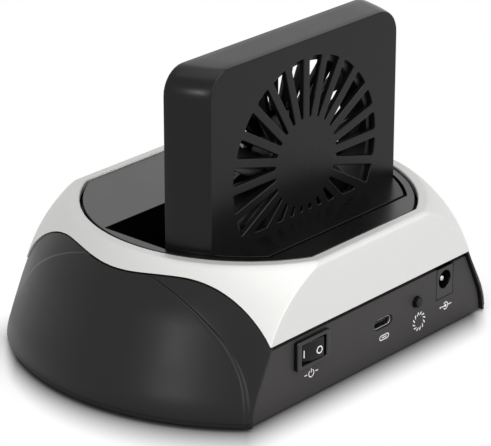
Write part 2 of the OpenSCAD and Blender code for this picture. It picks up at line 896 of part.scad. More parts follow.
module capacitors() {
    color([0.6, 0.62, 0.66])
        for (p = capacitors_at)
            on_board(p)
                cylinder(d = capacitor_d, h = capacitor_h);
}
module inductor() {
    color([0.25, 0.25, 0.27])
        on_board(inductor_at)
            translate([-3.3, -3.3, 0])
                cube([6.6, 6.6, 3]);
}
module fan_header() {
    color([0.9, 0.88, 0.8])
        on_board(header_at)
            translate([-3, -2.2, 0])
                cube([6, 4.4, header_h]);
}
module usb_c_socket() {
    color(steel)
        along_y(panel_y1 - usb_in - usb_len, usb_z, usb_x)
            difference() {
                linear_extrude(usb_len)
                    usb_outline();
                translate([0, 0, 1])
                    linear_extrude(usb_len)
                        usb_outline(-usb_wall);
            }
}
module usb_c_tongue() {
    tongue = [6.6, 0.7, 5.2];
    color(gloss_black)
        along_y(panel_y1 - usb_in - usb_len + 1, usb_z, usb_x) {
            linear_extrude(1.6)
                usb_outline(-usb_wall - 0.02);
            translate([-tongue[0] / 2, -tongue[1] / 2, 1.5])
                cube([tongue[0], tongue[1], tongue[2] - 1.5]);
        }
}
module dc_jack() {
    color(gloss_black)
        difference() {
            translate([jack_x - jack_w / 2, panel_y1 - jack_len, board_z1])
                cube([jack_w, jack_len, jack_h]);
            along_y(panel_y1 - jack_bore_len, jack_z, jack_x)
                cylinder(d = jack_bore_d, h = jack_bore_len + 1);
        }
}
module dc_jack_pin() {
    color(steel)
        along_y(panel_y1 - jack_bore_len, jack_z, jack_x)
            cylinder(d = jack_pin_d, h = jack_bore_len - jack_pin_in);
}
module switch_body() {
    back_y = panel_y1 - housing_len;
    color(gloss_black)
        difference() {
            union() {
                translate([switch_x - bezel_w / 2, panel_y1, switch_z - bezel_h / 2])
                    cube([bezel_w, bezel_proud, bezel_h]);
                translate([switch_x - housing_w / 2, back_y, switch_z - housing_h / 2])
                    cube([housing_w, housing_len + 0.5, housing_h]);
            }
            translate([switch_x - cavity_w / 2, pivot_y - rocker_sweep_r, switch_z - cavity_h / 2])
                cube([cavity_w, far, cavity_h]);
            translate([switch_x, pivot_y, switch_z - cavity_h / 2 - pivot_l - 0.1])
                cylinder(d = pivot_d + 2 * fit, h = cavity_h + 2 * pivot_l + 0.2);
        }
}
module power_rocker() {
    low = 3.4;
    color(gloss_black)
        translate([switch_x, pivot_y, switch_z])
            rotate(-rocker_tilt) {
                translate([0, 0, -rocker_h / 2])
                    linear_extrude(rocker_h)
                        polygon([[0, rocker_face], [-rocker_half, rocker_face - rocker_fall],
                                 [-rocker_half, 0.6], [-1.8, -low], [1.8, -low], [rocker_half, 0.6],
                                 [rocker_half, rocker_face - rocker_fall]]);
                cylinder(d = pivot_d, h = cavity_h + 2 * pivot_l, center = true);
            }
}
module switch_terminals() {
    color([0.85, 0.78, 0.5])
        for (s = [-1, 1])
            translate([switch_x + s * 3.5 - 0.4, panel_y1 - housing_len - terminal_len, switch_z - 2.4])
                cube([0.8, terminal_len, 4.8]);
}
module fan_button() {
    stem_y0 = button_switch_y[1] - stem_in;
    collar_y0 = panel_y0 - 0.3 - 1;
    color(gloss_black) {
        along_y(panel_y0 - 0.4, button_z, button_x)
            cylinder(d = button_d, h = panel_t + 0.4 + button_out);
        along_y(collar_y0, button_z, button_x)
            cylinder(d = collar_d, h = 1);
        along_y(stem_y0, button_z, button_x)
            cylinder(d = stem_d, h = collar_y0 - stem_y0 + 0.2);
    }
}
module button_switch() {
    color([0.2, 0.2, 0.22])
        difference() {
            on_board([button_x - button_switch_w / 2, button_switch_y[0]])
                cube([button_switch_w, button_switch_y[1] - button_switch_y[0], 2 * (button_z - board_z1)]);
            along_y(button_switch_y[1] - stem_in - button_travel - 0.3, button_z, button_x)
                cylinder(d = stem_d + 2 * fit, h = far);
        }
}

// Inner leads, each from its piece to the board
lead_d = 1.6;
fan_lead_x = 24;
fan_lead_y = fan_y0 + fan_t / 2;
fan_lead_z = fan_z - fan_size / 2;
header_z = board_z1 + header_h;
module fan_lead() {
    color([0.75, 0.1, 0.08])
        wire([[fan_lead_x, fan_lead_y, fan_lead_z],
              [fan_lead_x, fan_lead_y, fan_lead_z - 2],
              [fan_lead_x - 1, fan_lead_y + 0.8, fan_lead_z - 4.4],
              [fan_lead_x - 4, fan_lead_y + 3, header_z + 5.6],
              [header_at[0] + 4, header_at[1] - 2, header_z + 4.8],
              [header_at[0] + 1, header_at[1] - 0.4, header_z + 3.6],
              [header_at[0], header_at[1], header_z + 1.8],
              [header_at[0], header_at[1], header_z]],
             lead_d, [0.6, 0.8, 0]);
}
module switch_leads() {
    end_y = panel_y1 - housing_len - terminal_len;
    pad = [board_x[1] - 3, board_rear - 18.8];
    color([0.12, 0.12, 0.12])
        for (s = [-1, 1])
            let (x = switch_x + s * 3.5, px = pad[0], py = pad[1] - (s + 1) * 2.5)
                wire([[x, end_y, switch_z],
                      [x, end_y - 2, switch_z],
                      [x - 2, end_y - 4.5 - s, switch_z + 0.4],
                      [x - 5, py, switch_z + 0.8],
                      [px + 2.4, py, switch_z + 0.4],
                      [px + 0.4, py, board_z1 + 3.2],
                      [px, py, board_z1 + 1.6],
                      [px, py, board_z1]],
                     lead_d, [0, 1, 0.35]);
}
module led_leads() {
    led_y = -panel_y1 - led_out + led_len + 1;
    color([0.9, 0.9, 0.88])
        for (s = [-1, 1])
            let (x = s * 1, edge_x = 4 + s * 1.4)
                wire([[x * 0.9, led_y, led_z],
                      [x * 0.9, led_y + 3, led_z],
                      [x, led_y + 8, led_z - 2.6],
                      [x, led_y + 14, led_z - 4],
                      [x + 1.5, led_y + 26, board_z0 - 1.2],
                      [edge_x, board_y[0] - 8, board_z0 - 0.4],
                      [edge_x, board_y[0] - 3, board_z0 + board_t / 2],
                      [edge_x, board_y[0], board_z0 + board_t / 2]],
                     1, [0, 0, 1]);
}

// Fasteners
module base_screws() {
    color(steel)
        for (p = base_screws_at)
            translate([p[0], p[1], base_seat_z])
                screw(base_screw);
}
module board_screws() {
    color(steel)
        for (p = board_holes)
            translate([p[0], p[1], board_z1])
                mirror([0, 0, 1])
                    screw(board_screw);
}
module chassis_screws() {
    color(steel)
        for (p = chassis_screws_at)
            translate([p[0], p[1], flange_z0])
                screw(chassis_screw);
}

base_plate();
side_cheek_right();
side_cheek_left();
top_shell();
rear_panel();
front_panel();
status_led();
rubber_feet();
deck();
drive_well();
tower_shell();
tower_front();
fan_frame();
fan_rotor();
fan_shaft();
fan_magnet();
fan_bearing();
fan_stator();
fan_windings();
fan_screws();
main_board();
sata_socket();
sata_contacts();
bridge_chip();
capacitors();
inductor();
fan_header();
usb_c_socket();
usb_c_tongue();
dc_jack();
dc_jack_pin();
switch_body();
power_rocker();
switch_terminals();
fan_button();
button_switch();
fan_lead();
switch_leads();
led_leads();
base_screws();
board_screws();
chassis_screws();
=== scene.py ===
import math

import bmesh
import bpy
import numpy as np
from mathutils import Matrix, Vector
from mathutils.geometry import tessellate_polygon


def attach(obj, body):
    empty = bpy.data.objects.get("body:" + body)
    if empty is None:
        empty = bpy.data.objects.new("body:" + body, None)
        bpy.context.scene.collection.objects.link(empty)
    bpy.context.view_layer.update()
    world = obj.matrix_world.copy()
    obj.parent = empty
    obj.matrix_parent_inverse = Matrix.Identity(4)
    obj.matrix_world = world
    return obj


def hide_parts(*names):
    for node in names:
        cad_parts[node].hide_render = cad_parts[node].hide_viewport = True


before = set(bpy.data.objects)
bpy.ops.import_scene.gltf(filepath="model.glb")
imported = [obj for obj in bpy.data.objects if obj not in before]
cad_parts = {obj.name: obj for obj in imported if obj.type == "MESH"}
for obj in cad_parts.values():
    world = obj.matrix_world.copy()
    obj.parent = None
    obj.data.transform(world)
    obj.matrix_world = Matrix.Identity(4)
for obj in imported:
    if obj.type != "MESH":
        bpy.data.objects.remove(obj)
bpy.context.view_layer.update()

# Hard drive dock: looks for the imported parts. Sizes are in millimetres, +Y is the rear, z = 0 is the table.
mm = 0.001
scene = bpy.context.scene


# Small tools

# sRGB hex to the linear colour that a socket takes
def linear(hexCode):
    parts = [int(hexCode[i:i + 2], 16) / 255 for i in (1, 3, 5)]
    return [c / 12.92 if c <= 0.04045 else ((c + 0.055) / 1.055) ** 2.4 for c in parts] + [1.0]


# adds one shader node with its settings; a socket given as an input is linked, any other value is set
def addNode(tree, kind, inputs=None, **settings):
    node = tree.nodes.new("ShaderNode" + kind)
    for name, value in settings.items():
        setattr(node, name, value)
    for name, value in (inputs or {}).items():
        if isinstance(value, bpy.types.NodeSocket):
            tree.links.new(value, node.inputs[name])
        else:
            node.inputs[name].default_value = value
    return node


# quads of a grid of rows by columns, closed round in either direction where asked
def gridFaces(rows, cols, wrapRows=False, wrapCols=False, first=0):
    index = np.arange(rows * cols).reshape(rows, cols) + first
    low = index if wrapRows else index[:-1]
    high = np.roll(index, -1, 0) if wrapRows else index[1:]
    if wrapCols:
        quads = [low, np.roll(low, -1, 1), np.roll(high, -1, 1), high]
    else:
        quads = [low[:, :-1], low[:, 1:], high[:, 1:], high[:, :-1]]
    return np.stack(quads, -1).reshape(-1, 4).tolist()


# joins (points, faces) pairs into one pair
def joined(*parts):
    points, faces, count = [], [], 0
    for somePoints, someFaces in parts:
        points.append(np.asarray(somePoints, float).reshape(-1, 3))
        faces += [[i + count for i in f] for f in someFaces]
        count += len(points[-1])
    return np.concatenate(points), faces


meshing = dict(merge=0.0004, sliver=0.0002, bevelSegments=2, bevelFrom=50)


# makes the object: millimetres to metres, doubles merged, normals outwards, smooth with sharp edges past an angle
def addPiece(name, shape, material, rides="dock", replaces=(), sharp=35, bevel=None):
    points, faces = shape
    mesh = bpy.data.meshes.new(name)
    mesh.from_pydata((np.asarray(points) * mm).tolist(), [], faces)
    work = bmesh.new()
    work.from_mesh(mesh)
    bmesh.ops.remove_doubles(work, verts=work.verts, dist=meshing["merge"] * mm)
    bmesh.ops.dissolve_degenerate(work, edges=work.edges, dist=meshing["sliver"] * mm)
    bmesh.ops.recalc_face_normals(work, faces=work.faces)
    work.to_mesh(mesh)
    work.free()
    mesh.shade_smooth()
    mesh.set_sharp_from_angle(angle=math.radians(sharp))
    mesh.materials.append(material)
    piece = bpy.data.objects.new(name, mesh)
    scene.collection.objects.link(piece)
    if bevel:
        rounder = piece.modifiers.new("edges", "BEVEL")
        rounder.width = bevel * mm
        rounder.segments = meshing["bevelSegments"]
        rounder.limit_method = "ANGLE"
        rounder.angle_limit = math.radians(meshing["bevelFrom"])
    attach(piece, rides)
    if replaces:
        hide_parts(*replaces)
    return piece


# limits for outlines: the mitre, the least turn in degrees that is rounded, the most of an edge that a round takes,
# and how many roundings in from its edge a plate's face begins
outlineForm = dict(mitreLimit=0.3, leastTurn=25, mostShare=0.45, faceInset=1.6)


# moves a closed outline to its left by a distance, with mitred corners
def insetLoop(loop, distance):
    edge = np.roll(loop, -1, 0) - loop
    edge /= np.linalg.norm(edge, axis=1)[:, None]
    left = np.stack([-edge[:, 1], edge[:, 0]], 1)
    before = np.roll(left, 1, 0)
    mitre = (left + before) / np.maximum(1 + (left * before).sum(1), outlineForm["mitreLimit"])[:, None]
    return loop + distance * mitre


# the outline run anticlockwise or clockwise, as asked
def turned(loop, anticlockwise):
    x, y = loop[:, 0], loop[:, 1]
    area = (x * np.roll(y, -1) - y * np.roll(x, -1)).sum()
    return loop if (area > 0) == anticlockwise else loop[::-1]


# outline with each corner that turns far enough replaced by a curve close to an arc of the given radius
def roundCorners(loop, radius, steps=4):
    loop = np.asarray(loop, float)
    share = np.linspace(0, 1, steps + 1)[:, None]
    out = []
    for before, corner, after in zip(np.roll(loop, 1, 0), loop, np.roll(loop, -1, 0)):
        back, ahead = before - corner, after - corner
        lengths = np.linalg.norm(back), np.linalg.norm(ahead)
        back, ahead = back / lengths[0], ahead / lengths[1]
        half = math.acos(max(-1, min(1, float(back @ ahead)))) / 2
        if math.pi - 2 * half < math.radians(outlineForm["leastTurn"]):
            out.append(corner)
            continue
        reach = min(radius / math.tan(half), outlineForm["mostShare"] * min(lengths))
        out += list((1 - share) ** 2 * (corner + reach * back) + 2 * share * (1 - share) * corner
                    + share ** 2 * (corner + reach * ahead))
    return np.array(out)


def rectangle(x, y, wide, tall, radius=0.0):
    corners = np.array([[-1, -1], [1, -1], [1, 1], [-1, 1]]) * [wide / 2, tall / 2] + [x, y]
    return roundCorners(corners, radius) if radius else corners


def circle(x, y, radius, count=48):
    a = np.linspace(0, 2 * np.pi, count, endpoint=False)
    return np.stack([x + radius * np.cos(a), y + radius * np.sin(a)], 1)


# walls along an outline, drawn in by each inset at its level: points (x, y, level), faces, and the first and last rim
def outlineWalls(loop, insets, levels, first):
    rings = np.stack([insetLoop(loop, d) for d in insets])
    points = np.concatenate([rings, np.broadcast_to(levels[:, None, None], rings.shape[:2] + (1,))], 2).reshape(-1, 3)
    index = first + np.arange(len(points)).reshape(len(levels), -1)
    faces = gridFaces(*index.shape, wrapCols=True, first=first)
    return points, faces, (rings[0], index[0]), (rings[-1], index[-1])


# triangles that fill a face: (outline, point numbers) for its edge and each hole
def filled(rim):
    index = np.concatenate([numbers for outline, numbers in rim])
    triangles = tessellate_polygon([[Vector((x, y, 0)) for x, y in outline] for outline, numbers in rim])
    return [[int(index[i]) for i in triangle] for triangle in triangles]


# plate: each outline is carried through a wall profile with rounded edges, and the two faces are filled
def plate(outer, holes, low, high, rounding, place, steps=4):
    loops = [turned(np.asarray(outer, float), True)] + [turned(np.asarray(h, float), False) for h in holes]
    a = np.linspace(0, np.pi / 2, steps + 1)
    inset = rounding * (1 - np.sin(a))
    rise = rounding * (1 - np.cos(a))
    faceInset = rounding * outlineForm["faceInset"]
    insets = np.concatenate([[faceInset], inset, inset[::-1], [faceInset]])
    levels = np.concatenate([[low], low + rise, high - rise[::-1], [high]])
    points, faces, rims, first = [], [], ([], []), 0
    for loop in loops:
        wallPoints, wallFaces, *ends = outlineWalls(loop, insets, levels, first)
        points.append(wallPoints)
        faces += wallFaces
        for rim, end in zip(rims, ends):
            rim.append(end)
        first += len(wallPoints)
    return place(np.concatenate(points)), faces + filled(rims[0]) + filled(rims[1])


# where a plate's outline lies: in plan with its thickness upwards, or in elevation with its thickness to the rear
def inPlan(p):
    return p


def inElevation(p):
    return p[:, [0, 2, 1]]


# profile of (radius, height) pairs carried round an axis; ends on the axis close the shape
def lathe(profile, place, count=48):
    profile = np.asarray(profile, float)
    a = np.linspace(0, 2 * np.pi, count, endpoint=False)
    r, h = profile[:, :1], profile[:, 1:]
    points = np.stack([r * np.cos(a), r * np.sin(a), h + 0 * a], -1).reshape(-1, 3)
    return place(points), gridFaces(len(profile), count, wrapCols=True)


# sets a profile's axis along Y, with its height to the rear
def alongY(x, y, z):
    return lambda p: np.stack([x + p[:, 0], y + p[:, 2], z - p[:, 1]], 1)


# quarter circle round a profile's corner, from (r - f, h) to (r, h - f)
def roundedEdge(r, h, f, steps=5):
    a = np.linspace(0, np.pi / 2, steps)
    return np.stack([r - f + f * np.sin(a), h - f + f * np.cos(a)], 1).tolist()


# Materials
noiseRange = {"From Min": 0.3, "From Max": 0.7}


# an empty material with its node tree and the object coordinates in it
def newMaterial(name):
    material = bpy.data.materials.new(name)
    material.use_nodes = True
    tree = material.node_tree
    tree.nodes.clear()
    return material, tree, addNode(tree, "TexCoord").outputs["Object"]


def setSurface(tree, inputs):
    shader = addNode(tree, "BsdfPrincipled", inputs)
    addNode(tree, "OutputMaterial", {"Surface": shader.outputs["BSDF"]})


# silver paint on moulded ABS: fine metal flake under a thin satin clear, so the tone drifts gently with the grain
def silverPaint():
    look = dict(base="#C5C5C3", flake="#D1D1CF", flakeSize=0.25, roughness=0.5, metal=0.35, clear=0.1,
                clearRoughness=0.3, bump=0.03, depth=0.02)
    material, tree, where = newMaterial("silver_paint_on_abs")
    grain = addNode(tree, "TexNoise", {"Vector": where, "Scale": 1 / (look["flakeSize"] * mm), "Detail": 2.0,
                                       "Roughness": 0.6}).outputs["Fac"]
    tone = addNode(tree, "Mix", {0: grain, 6: linear(look["base"]), 7: linear(look["flake"])}, data_type="RGBA")
    bump = addNode(tree, "Bump", {"Height": grain, "Strength": look["bump"], "Distance": look["depth"] * mm})
    setSurface(tree, {"Base Color": tone.outputs[2], "Metallic": look["metal"], "Roughness": look["roughness"],
                      "Normal": bump.outputs["Normal"], "Coat Weight": look["clear"],
                      "Coat Roughness": look["clearRoughness"]})
    return material


moulding = dict(blotch=18.0, dullest=1.08, brightest=0.92, bump=0.35, coatRoughness=0.03)


# moulded plastic with a spark-eroded texture: grit and depth in millimetres set the bump, blotches vary the sheen
def mouldedPlastic(name, base, worn, roughness, grit, depth, coat=0.0, gloss=0.5):
    material, tree, where = newMaterial(name)
    fine = addNode(tree, "TexNoise", {"Vector": where, "Scale": 1 / (grit * mm), "Detail": 3.0,
                                      "Roughness": 0.65}).outputs["Fac"]
    broad = addNode(tree, "TexNoise", {"Vector": where, "Scale": 1 / (moulding["blotch"] * mm), "Detail": 3.0})
    tone = addNode(tree, "Mix", {0: fine, 6: linear(base), 7: linear(worn)}, data_type="RGBA")
    sheen = addNode(tree, "MapRange", {"Value": broad.outputs["Fac"], **noiseRange,
                                       "To Min": roughness * moulding["brightest"],
                                       "To Max": roughness * moulding["dullest"]})
    bump = addNode(tree, "Bump", {"Height": fine, "Strength": moulding["bump"], "Distance": depth * mm})
    setSurface(tree, {"Base Color": tone.outputs[2], "Roughness": sheen.outputs["Result"],
                      "Normal": bump.outputs["Normal"], "Specular IOR Level": gloss, "Coat Weight": coat,
                      "Coat Roughness": moulding["coatRoughness"]})
    return material


drawing = dict(stretch=0.08, dullest=1.25, brightest=0.8, bump=0.08, depth=0.02)


# bare metals: fine drawing lines along one axis, coarser than real ones so that they show
def drawnMetal(name, base, roughness, lineWidth=0.3):
    material, tree, where = newMaterial(name)
    stretched = addNode(tree, "Mapping", {"Vector": where, "Scale": (1.0, drawing["stretch"], 1.0)})
    lines = addNode(tree, "TexNoise", {"Vector": stretched.outputs["Vector"], "Scale": 1 / (lineWidth * mm),
                                       "Detail": 2.0}).outputs["Fac"]
    rough = addNode(tree, "MapRange", {"Value": lines, **noiseRange, "To Min": roughness * drawing["brightest"],
                                       "To Max": roughness * drawing["dullest"]})
    bump = addNode(tree, "Bump", {"Height": lines, "Strength": drawing["bump"], "Distance": drawing["depth"] * mm})
    setSurface(tree, {"Base Color": linear(base), "Metallic": 1.0, "Roughness": rough.outputs["Result"],
                      "Normal": bump.outputs["Normal"]})
    return material


silver = silverPaint()
charcoal = mouldedPlastic("charcoal_abs_fine_grain", "#171617", "#1B1A1A", 0.37, 0.5, 0.02, gloss=0.2)
# the panels are the cheeks' charcoal ABS painted lighter: painted light for the stronger light that falls on the
# panels
panelCharcoalPaintedLight = mouldedPlastic("charcoal_abs_matt_painted_light", "#302E2F", "#353334", 0.55, 0.45, 0.03, gloss=0.22)
glossBlack = mouldedPlastic("polished_black_abs", "#060607", "#070708", 0.29, 0.6, 0.001)
satinBlack = mouldedPlastic("satin_black_abs", "#0D0D0E", "#101011", 0.27, 0.5, 0.012, gloss=0.2)
fanBlack = mouldedPlastic("glass_filled_black_nylon", "#0D0D0E", "#121213", 0.4, 0.7, 0.02)
softRubber = mouldedPlastic("moulded_rubber", "#151515", "#1C1C1C", 0.75, 0.8, 0.04)
whiteInk = mouldedPlastic("white_pad_print", "#D8D8D6", "#E0E0DE", 0.6, 0.3, 0.01)
clearLens = mouldedPlastic("milky_polycarbonate", "#C9D4E0", "#D6DEE8", 0.15, 1.0, 0.002)
solderMask = mouldedPlastic("green_solder_mask", "#123F26", "#17492D", 0.35, 0.7, 0.01, coat=0.3)
creamNylon = mouldedPlastic("natural_nylon", "#D9D3C0", "#E2DCCB", 0.45, 0.7, 0.01)
redLead = mouldedPlastic("red_pvc_insulation", "#9C1712", "#A81D17", 0.45, 0.8, 0.01)
blackLead = mouldedPlastic("black_pvc_insulation", "#141414", "#1A1A1A", 0.45, 0.8, 0.01)
whiteLead = mouldedPlastic("white_pvc_insulation", "#CFCFCB", "#D8D8D4", 0.45, 0.8, 0.01)
ferrite = mouldedPlastic("sintered_ferrite", "#38383A", "#444446", 0.6, 0.4, 0.03)
nickelSteel = drawnMetal("nickel_plated_steel", "#C4C5C7", 0.26)
sinteredBronze = drawnMetal("sintered_bronze", "#A98450", 0.4)
copperWire = drawnMetal("varnished_copper_wire", "#B0683A", 0.35, 0.25)
goldPlate = drawnMetal("gold_plated_contact", "#D8B25C", 0.25)
aluminiumCan = drawnMetal("bright_aluminium_can", "#B9BCC2", 0.3)
print("materials made")

# Nodes shown as they are in the solids, each with its material
carriedOver = {
    softRubber: ["rubber_feet"],
    charcoal: ["base_plate"],
    satinBlack: ["drive_well", "sata_socket", "bridge_chip", "usb_c_tongue", "button_switch"],
    fanBlack: ["fan_frame"],
    nickelSteel: ["fan_shaft", "fan_screws", "base_screws", "board_screws", "chassis_screws"],
    ferrite: ["fan_magnet", "fan_stator", "inductor"],
    sinteredBronze: ["fan_bearing"],
    copperWire: ["fan_windings"],
    goldPlate: ["sata_contacts", "switch_terminals"],
    aluminiumCan: ["capacitors"],
    solderMask: ["main_board"],
    creamNylon: ["fan_header"],
    redLead: ["fan_lead"],
    blackLead: ["switch_leads"],
    whiteLead: ["led_leads"],
}
for material, nodeNames in carriedOver.items():
    for nodeName in nodeNames:
        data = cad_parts[nodeName].data
        data.materials.clear()
        data.materials.append(material)
print("carried-over nodes dressed")

# Body form, shared by the shell, the cheeks and the panels
bodyForm = dict(rimHeight=47.0, halfDepth=54.0, rimRadius=59.9, shoulderRadius=44.0, shoulderTop=51.0,
                flankLean=20.5, bottomRadius=30.0, seam=0.5, rimFillet=1.8, rimTuck=0.42,
                archFillet=1.3)


# radius of the round flank over height: bottom arc, straight leaning flank, shoulder arc
def flankRadius(z):
    b = bodyForm
    lean, top = math.radians(b["flankLean"]), math.radians(b["shoulderTop"])
    cr = b["rimRadius"] - b["shoulderRadius"] * math.cos(top)
    cz = b["rimHeight"] - b["shoulderRadius"] * math.sin(top)
    highR = cr + b["shoulderRadius"] * math.cos(lean)
    highZ = cz + b["shoulderRadius"] * math.sin(lean)
    lowZ = b["bottomRadius"] * math.sin(lean)
    lowR = highR + (highZ - lowZ) * math.tan(lean)
    z = np.asarray(z, float)
    shoulder = cr + np.sqrt(np.maximum(b["shoulderRadius"] ** 2 - (z - cz) ** 2, 0))
    straight = lowR - (z - lowZ) * math.tan(lean)
    bottom = lowR - b["bottomRadius"] * math.cos(lean) + np.sqrt(np.maximum(b["bottomRadius"] ** 2 - z ** 2, 0))
    return np.where(z > highZ, shoulder, np.where(z > lowZ, straight, bottom))


# the same with a small round where the shoulder runs into the flat rim, and the flats' depth with theirs
def rimmedRadius(z):
    f = bodyForm["rimFillet"]
    down = np.clip((np.asarray(z) - bodyForm["rimHeight"] + f) / f, 0, 1)
    return flankRadius(z) - bodyForm["rimTuck"] * f * (1 - np.sqrt(1 - down ** 2))


def rimmedDepth(z):
    f = bodyForm["rimFillet"]
    down = np.clip((np.asarray(z) - bodyForm["rimHeight"] + f) / f, 0, 1)
    return bodyForm["halfDepth"] - f * (1 - np.sqrt(1 - down ** 2))


seamForm = dict(crestY=23.5, crestZ=43.2, valleyZ=41.9, apronZ=25.2)


# height of the seam between shell and cheek over y: cosine valley between the crests, then a circular ear
def seamHeight(y):
    s = seamForm
    y = np.minimum(np.abs(y), bodyForm["halfDepth"])
    run, drop = bodyForm["halfDepth"] - s["crestY"], s["crestZ"] - s["apronZ"]
    ear = (run ** 2 + drop ** 2) / (2 * drop)
    valley = s["valleyZ"] + (s["crestZ"] - s["valleyZ"]) * (1 - np.cos(np.pi * y / s["crestY"])) / 2
    out = np.clip(y - s["crestY"], 0, None)
    return np.where(y < s["crestY"], valley, s["crestZ"] - ear + np.sqrt(ear ** 2 - out ** 2))


# Silver top shell: columns run round the body, rows climb from the seam over the rim into the deck opening
topShell = dict(sideColumns=81, archColumns=6, apronColumns=15, rows=22, rimRows=7, wall=2.4, apronWall=2.2,
                rimThick=2.2, deckRadius=56.1, deckFlat=49.4, deckGap=0.38, arcShare=0.99,
                rimShares=(0.12, 0.5, 0.9, 1.0), lipDrops=(0.05, 0.3), lipSlip=0.25, innerRows=5, innerTop=0.8,
                seamPasses=6)


# point on the outline at height z for one quarter's column: arc, arch fillet, or apron. kind 0, 1, 2 with share q
def shellOutline(kind, q, z):
    g = bodyForm["archFillet"]
    r, depth = rimmedRadius(z), rimmedDepth(z)
    xc, yc = np.sqrt((r - g) ** 2 - (depth - g) ** 2), depth - g
    yArc = q * yc * r / (r - g)
    start = np.arctan2(yc, xc)
    a = start + (np.pi / 2 - start) * q
    x = np.where(kind == 0, np.sqrt(r ** 2 - yArc ** 2), np.where(kind == 1, xc + g * np.cos(a), (1 - q) * xc))
    y = np.where(kind == 0, yArc, np.where(kind == 1, yc + g * np.sin(a), depth))
    return x, y


def shellShape():
    t, b = topShell, bodyForm
    half = t["sideColumns"] // 2
    kind = np.repeat([0, 1, 2], [half + 1, t["archColumns"], t["apronColumns"]])
    q = np.concatenate([np.linspace(0, 1, half + 1), np.linspace(0, 1, t["archColumns"] + 2)[1:-1],
                        np.linspace(0, 1, t["apronColumns"])])
    climb = np.linspace(0, 1, t["rows"])[:, None]
    filletStart = b["rimHeight"] - b["rimFillet"]
    z = np.full((t["rows"], len(q)), filletStart)
    for step in range(t["seamPasses"]):  # the seam's height depends on y, and y on the height
        x, y = shellOutline(kind, q, z)
        low = seamHeight(y[0]) + b["seam"] / 2
        z = low + (filletStart - low) * climb
    a = np.linspace(0, np.pi / 2, t["rimRows"])[1:, None]
    zRim = filletStart + b["rimFillet"] * np.sin(a) + 0 * q
    zOut = np.concatenate([z, zRim])
    xOut, yOut = shellOutline(kind, q, zOut)
    # deck opening, with the same columns spread along its own arc and flat
    r, f = t["deckRadius"] + t["deckGap"], t["deckFlat"] + t["deckGap"]
    xCorner = math.sqrt(r ** 2 - f ** 2)
    yArc = q * f * t["arcShare"]
    yOpen = np.where(kind == 0, yArc, f)
    xOpen = np.where(kind == 0, np.sqrt(r ** 2 - yArc ** 2), xCorner * np.where(kind == 1, 1, 1 - q))
    share = np.array(t["rimShares"])[:, None]
    xRim, yRim = xOut[-1] + (xOpen - xOut[-1]) * share, yOut[-1] + (yOpen - yOut[-1]) * share
    flatTop = np.full(xRim.shape, b["rimHeight"])
    edge = np.array([*t["lipDrops"], t["rimThick"]])[:, None]
    slip = np.array([0.0, -t["lipSlip"], -t["lipSlip"]])[:, None]
    length = np.sqrt(xOpen ** 2 + yOpen ** 2)
    xWall, yWall = xOpen * (1 + slip / length), yOpen * (1 + slip / length)
    # inside: under the rim, then down the inner wall to the seam
    under = b["rimHeight"] - t["rimThick"]
    descent = np.linspace(t["innerTop"], 0, t["innerRows"])[:, None]
    zIn = np.concatenate([np.full((1, len(q)), under), low + (under - low) * descent])
    rIn, fIn = flankRadius(zIn) - t["wall"], b["halfDepth"] - t["apronWall"]
    xInCorner = np.sqrt(rIn ** 2 - fIn ** 2)
    yIn = np.where(kind == 0, q * fIn, fIn + 0 * zIn)
    xIn = np.where(kind == 0, np.sqrt(rIn ** 2 - yIn ** 2), xInCorner * np.where(kind == 1, 1, 1 - q))
    quarter = np.stack([np.concatenate([xOut, xRim, xWall, xIn]), np.concatenate([yOut, yRim, yWall, yIn]),
                        np.concatenate([zOut, flatTop, b["rimHeight"] - edge + 0 * xWall, zIn])], -1)
    # the quarter from +X to +Y, mirrored into the other three without repeating shared columns
    rear = np.concatenate([quarter, quarter[:, -2::-1] * [-1, 1, 1]], 1)
    around = np.concatenate([rear, rear[:, -2:0:-1] * [1, -1, 1]], 1)
    return around.reshape(-1, 3), gridFaces(around.shape[0], around.shape[1], wrapRows=True, wrapCols=True)


addPiece("silver_shell", shellShape(), silver, replaces=["top_shell"], sharp=40)
print("silver shell made")

# Charcoal cheeks: rays fan out from the middle of the bottom edge, so that rows follow the petal's crease
cheek = dict(petalHalf=52.8, petalHeight=43.8, step=0.7, leastStep=0.08, slope=1.9, riser=0.3, round=0.13,
             groove=0.55, grooveWide=0.35, frontStep=0.25, highFrom=20.0, highFade=9.0, wall=2.2, bottom=2.9,
             rays=140, inner=20, outer=16, leastOuter=0.2, lip=0.8, roomFront=50.45, bevel=0.22,
             farthest=3.0, halvings=50)


# how far the ears lie behind the petal: the step grows towards the bottom
def earStep(z):
    return cheek["leastStep"] + cheek["step"] * np.clip(1 - np.asarray(z) / seamForm["crestZ"], 0, None)


# half width between the ears' end faces
def earHalf(z):
    return np.sqrt((flankRadius(z) - earStep(z)) ** 2 - bodyForm["halfDepth"] ** 2) - cheek["lip"]


# ramp from 0 to 1 over u = 0 to 1 with both corners rounded over a share e
def roundedRamp(u, e):
    def corner(t):
        return np.where(t < -e, 0, np.where(t > e, t, (t + e) ** 2 / (4 * e)))
    return corner(u) - corner(u - 1)


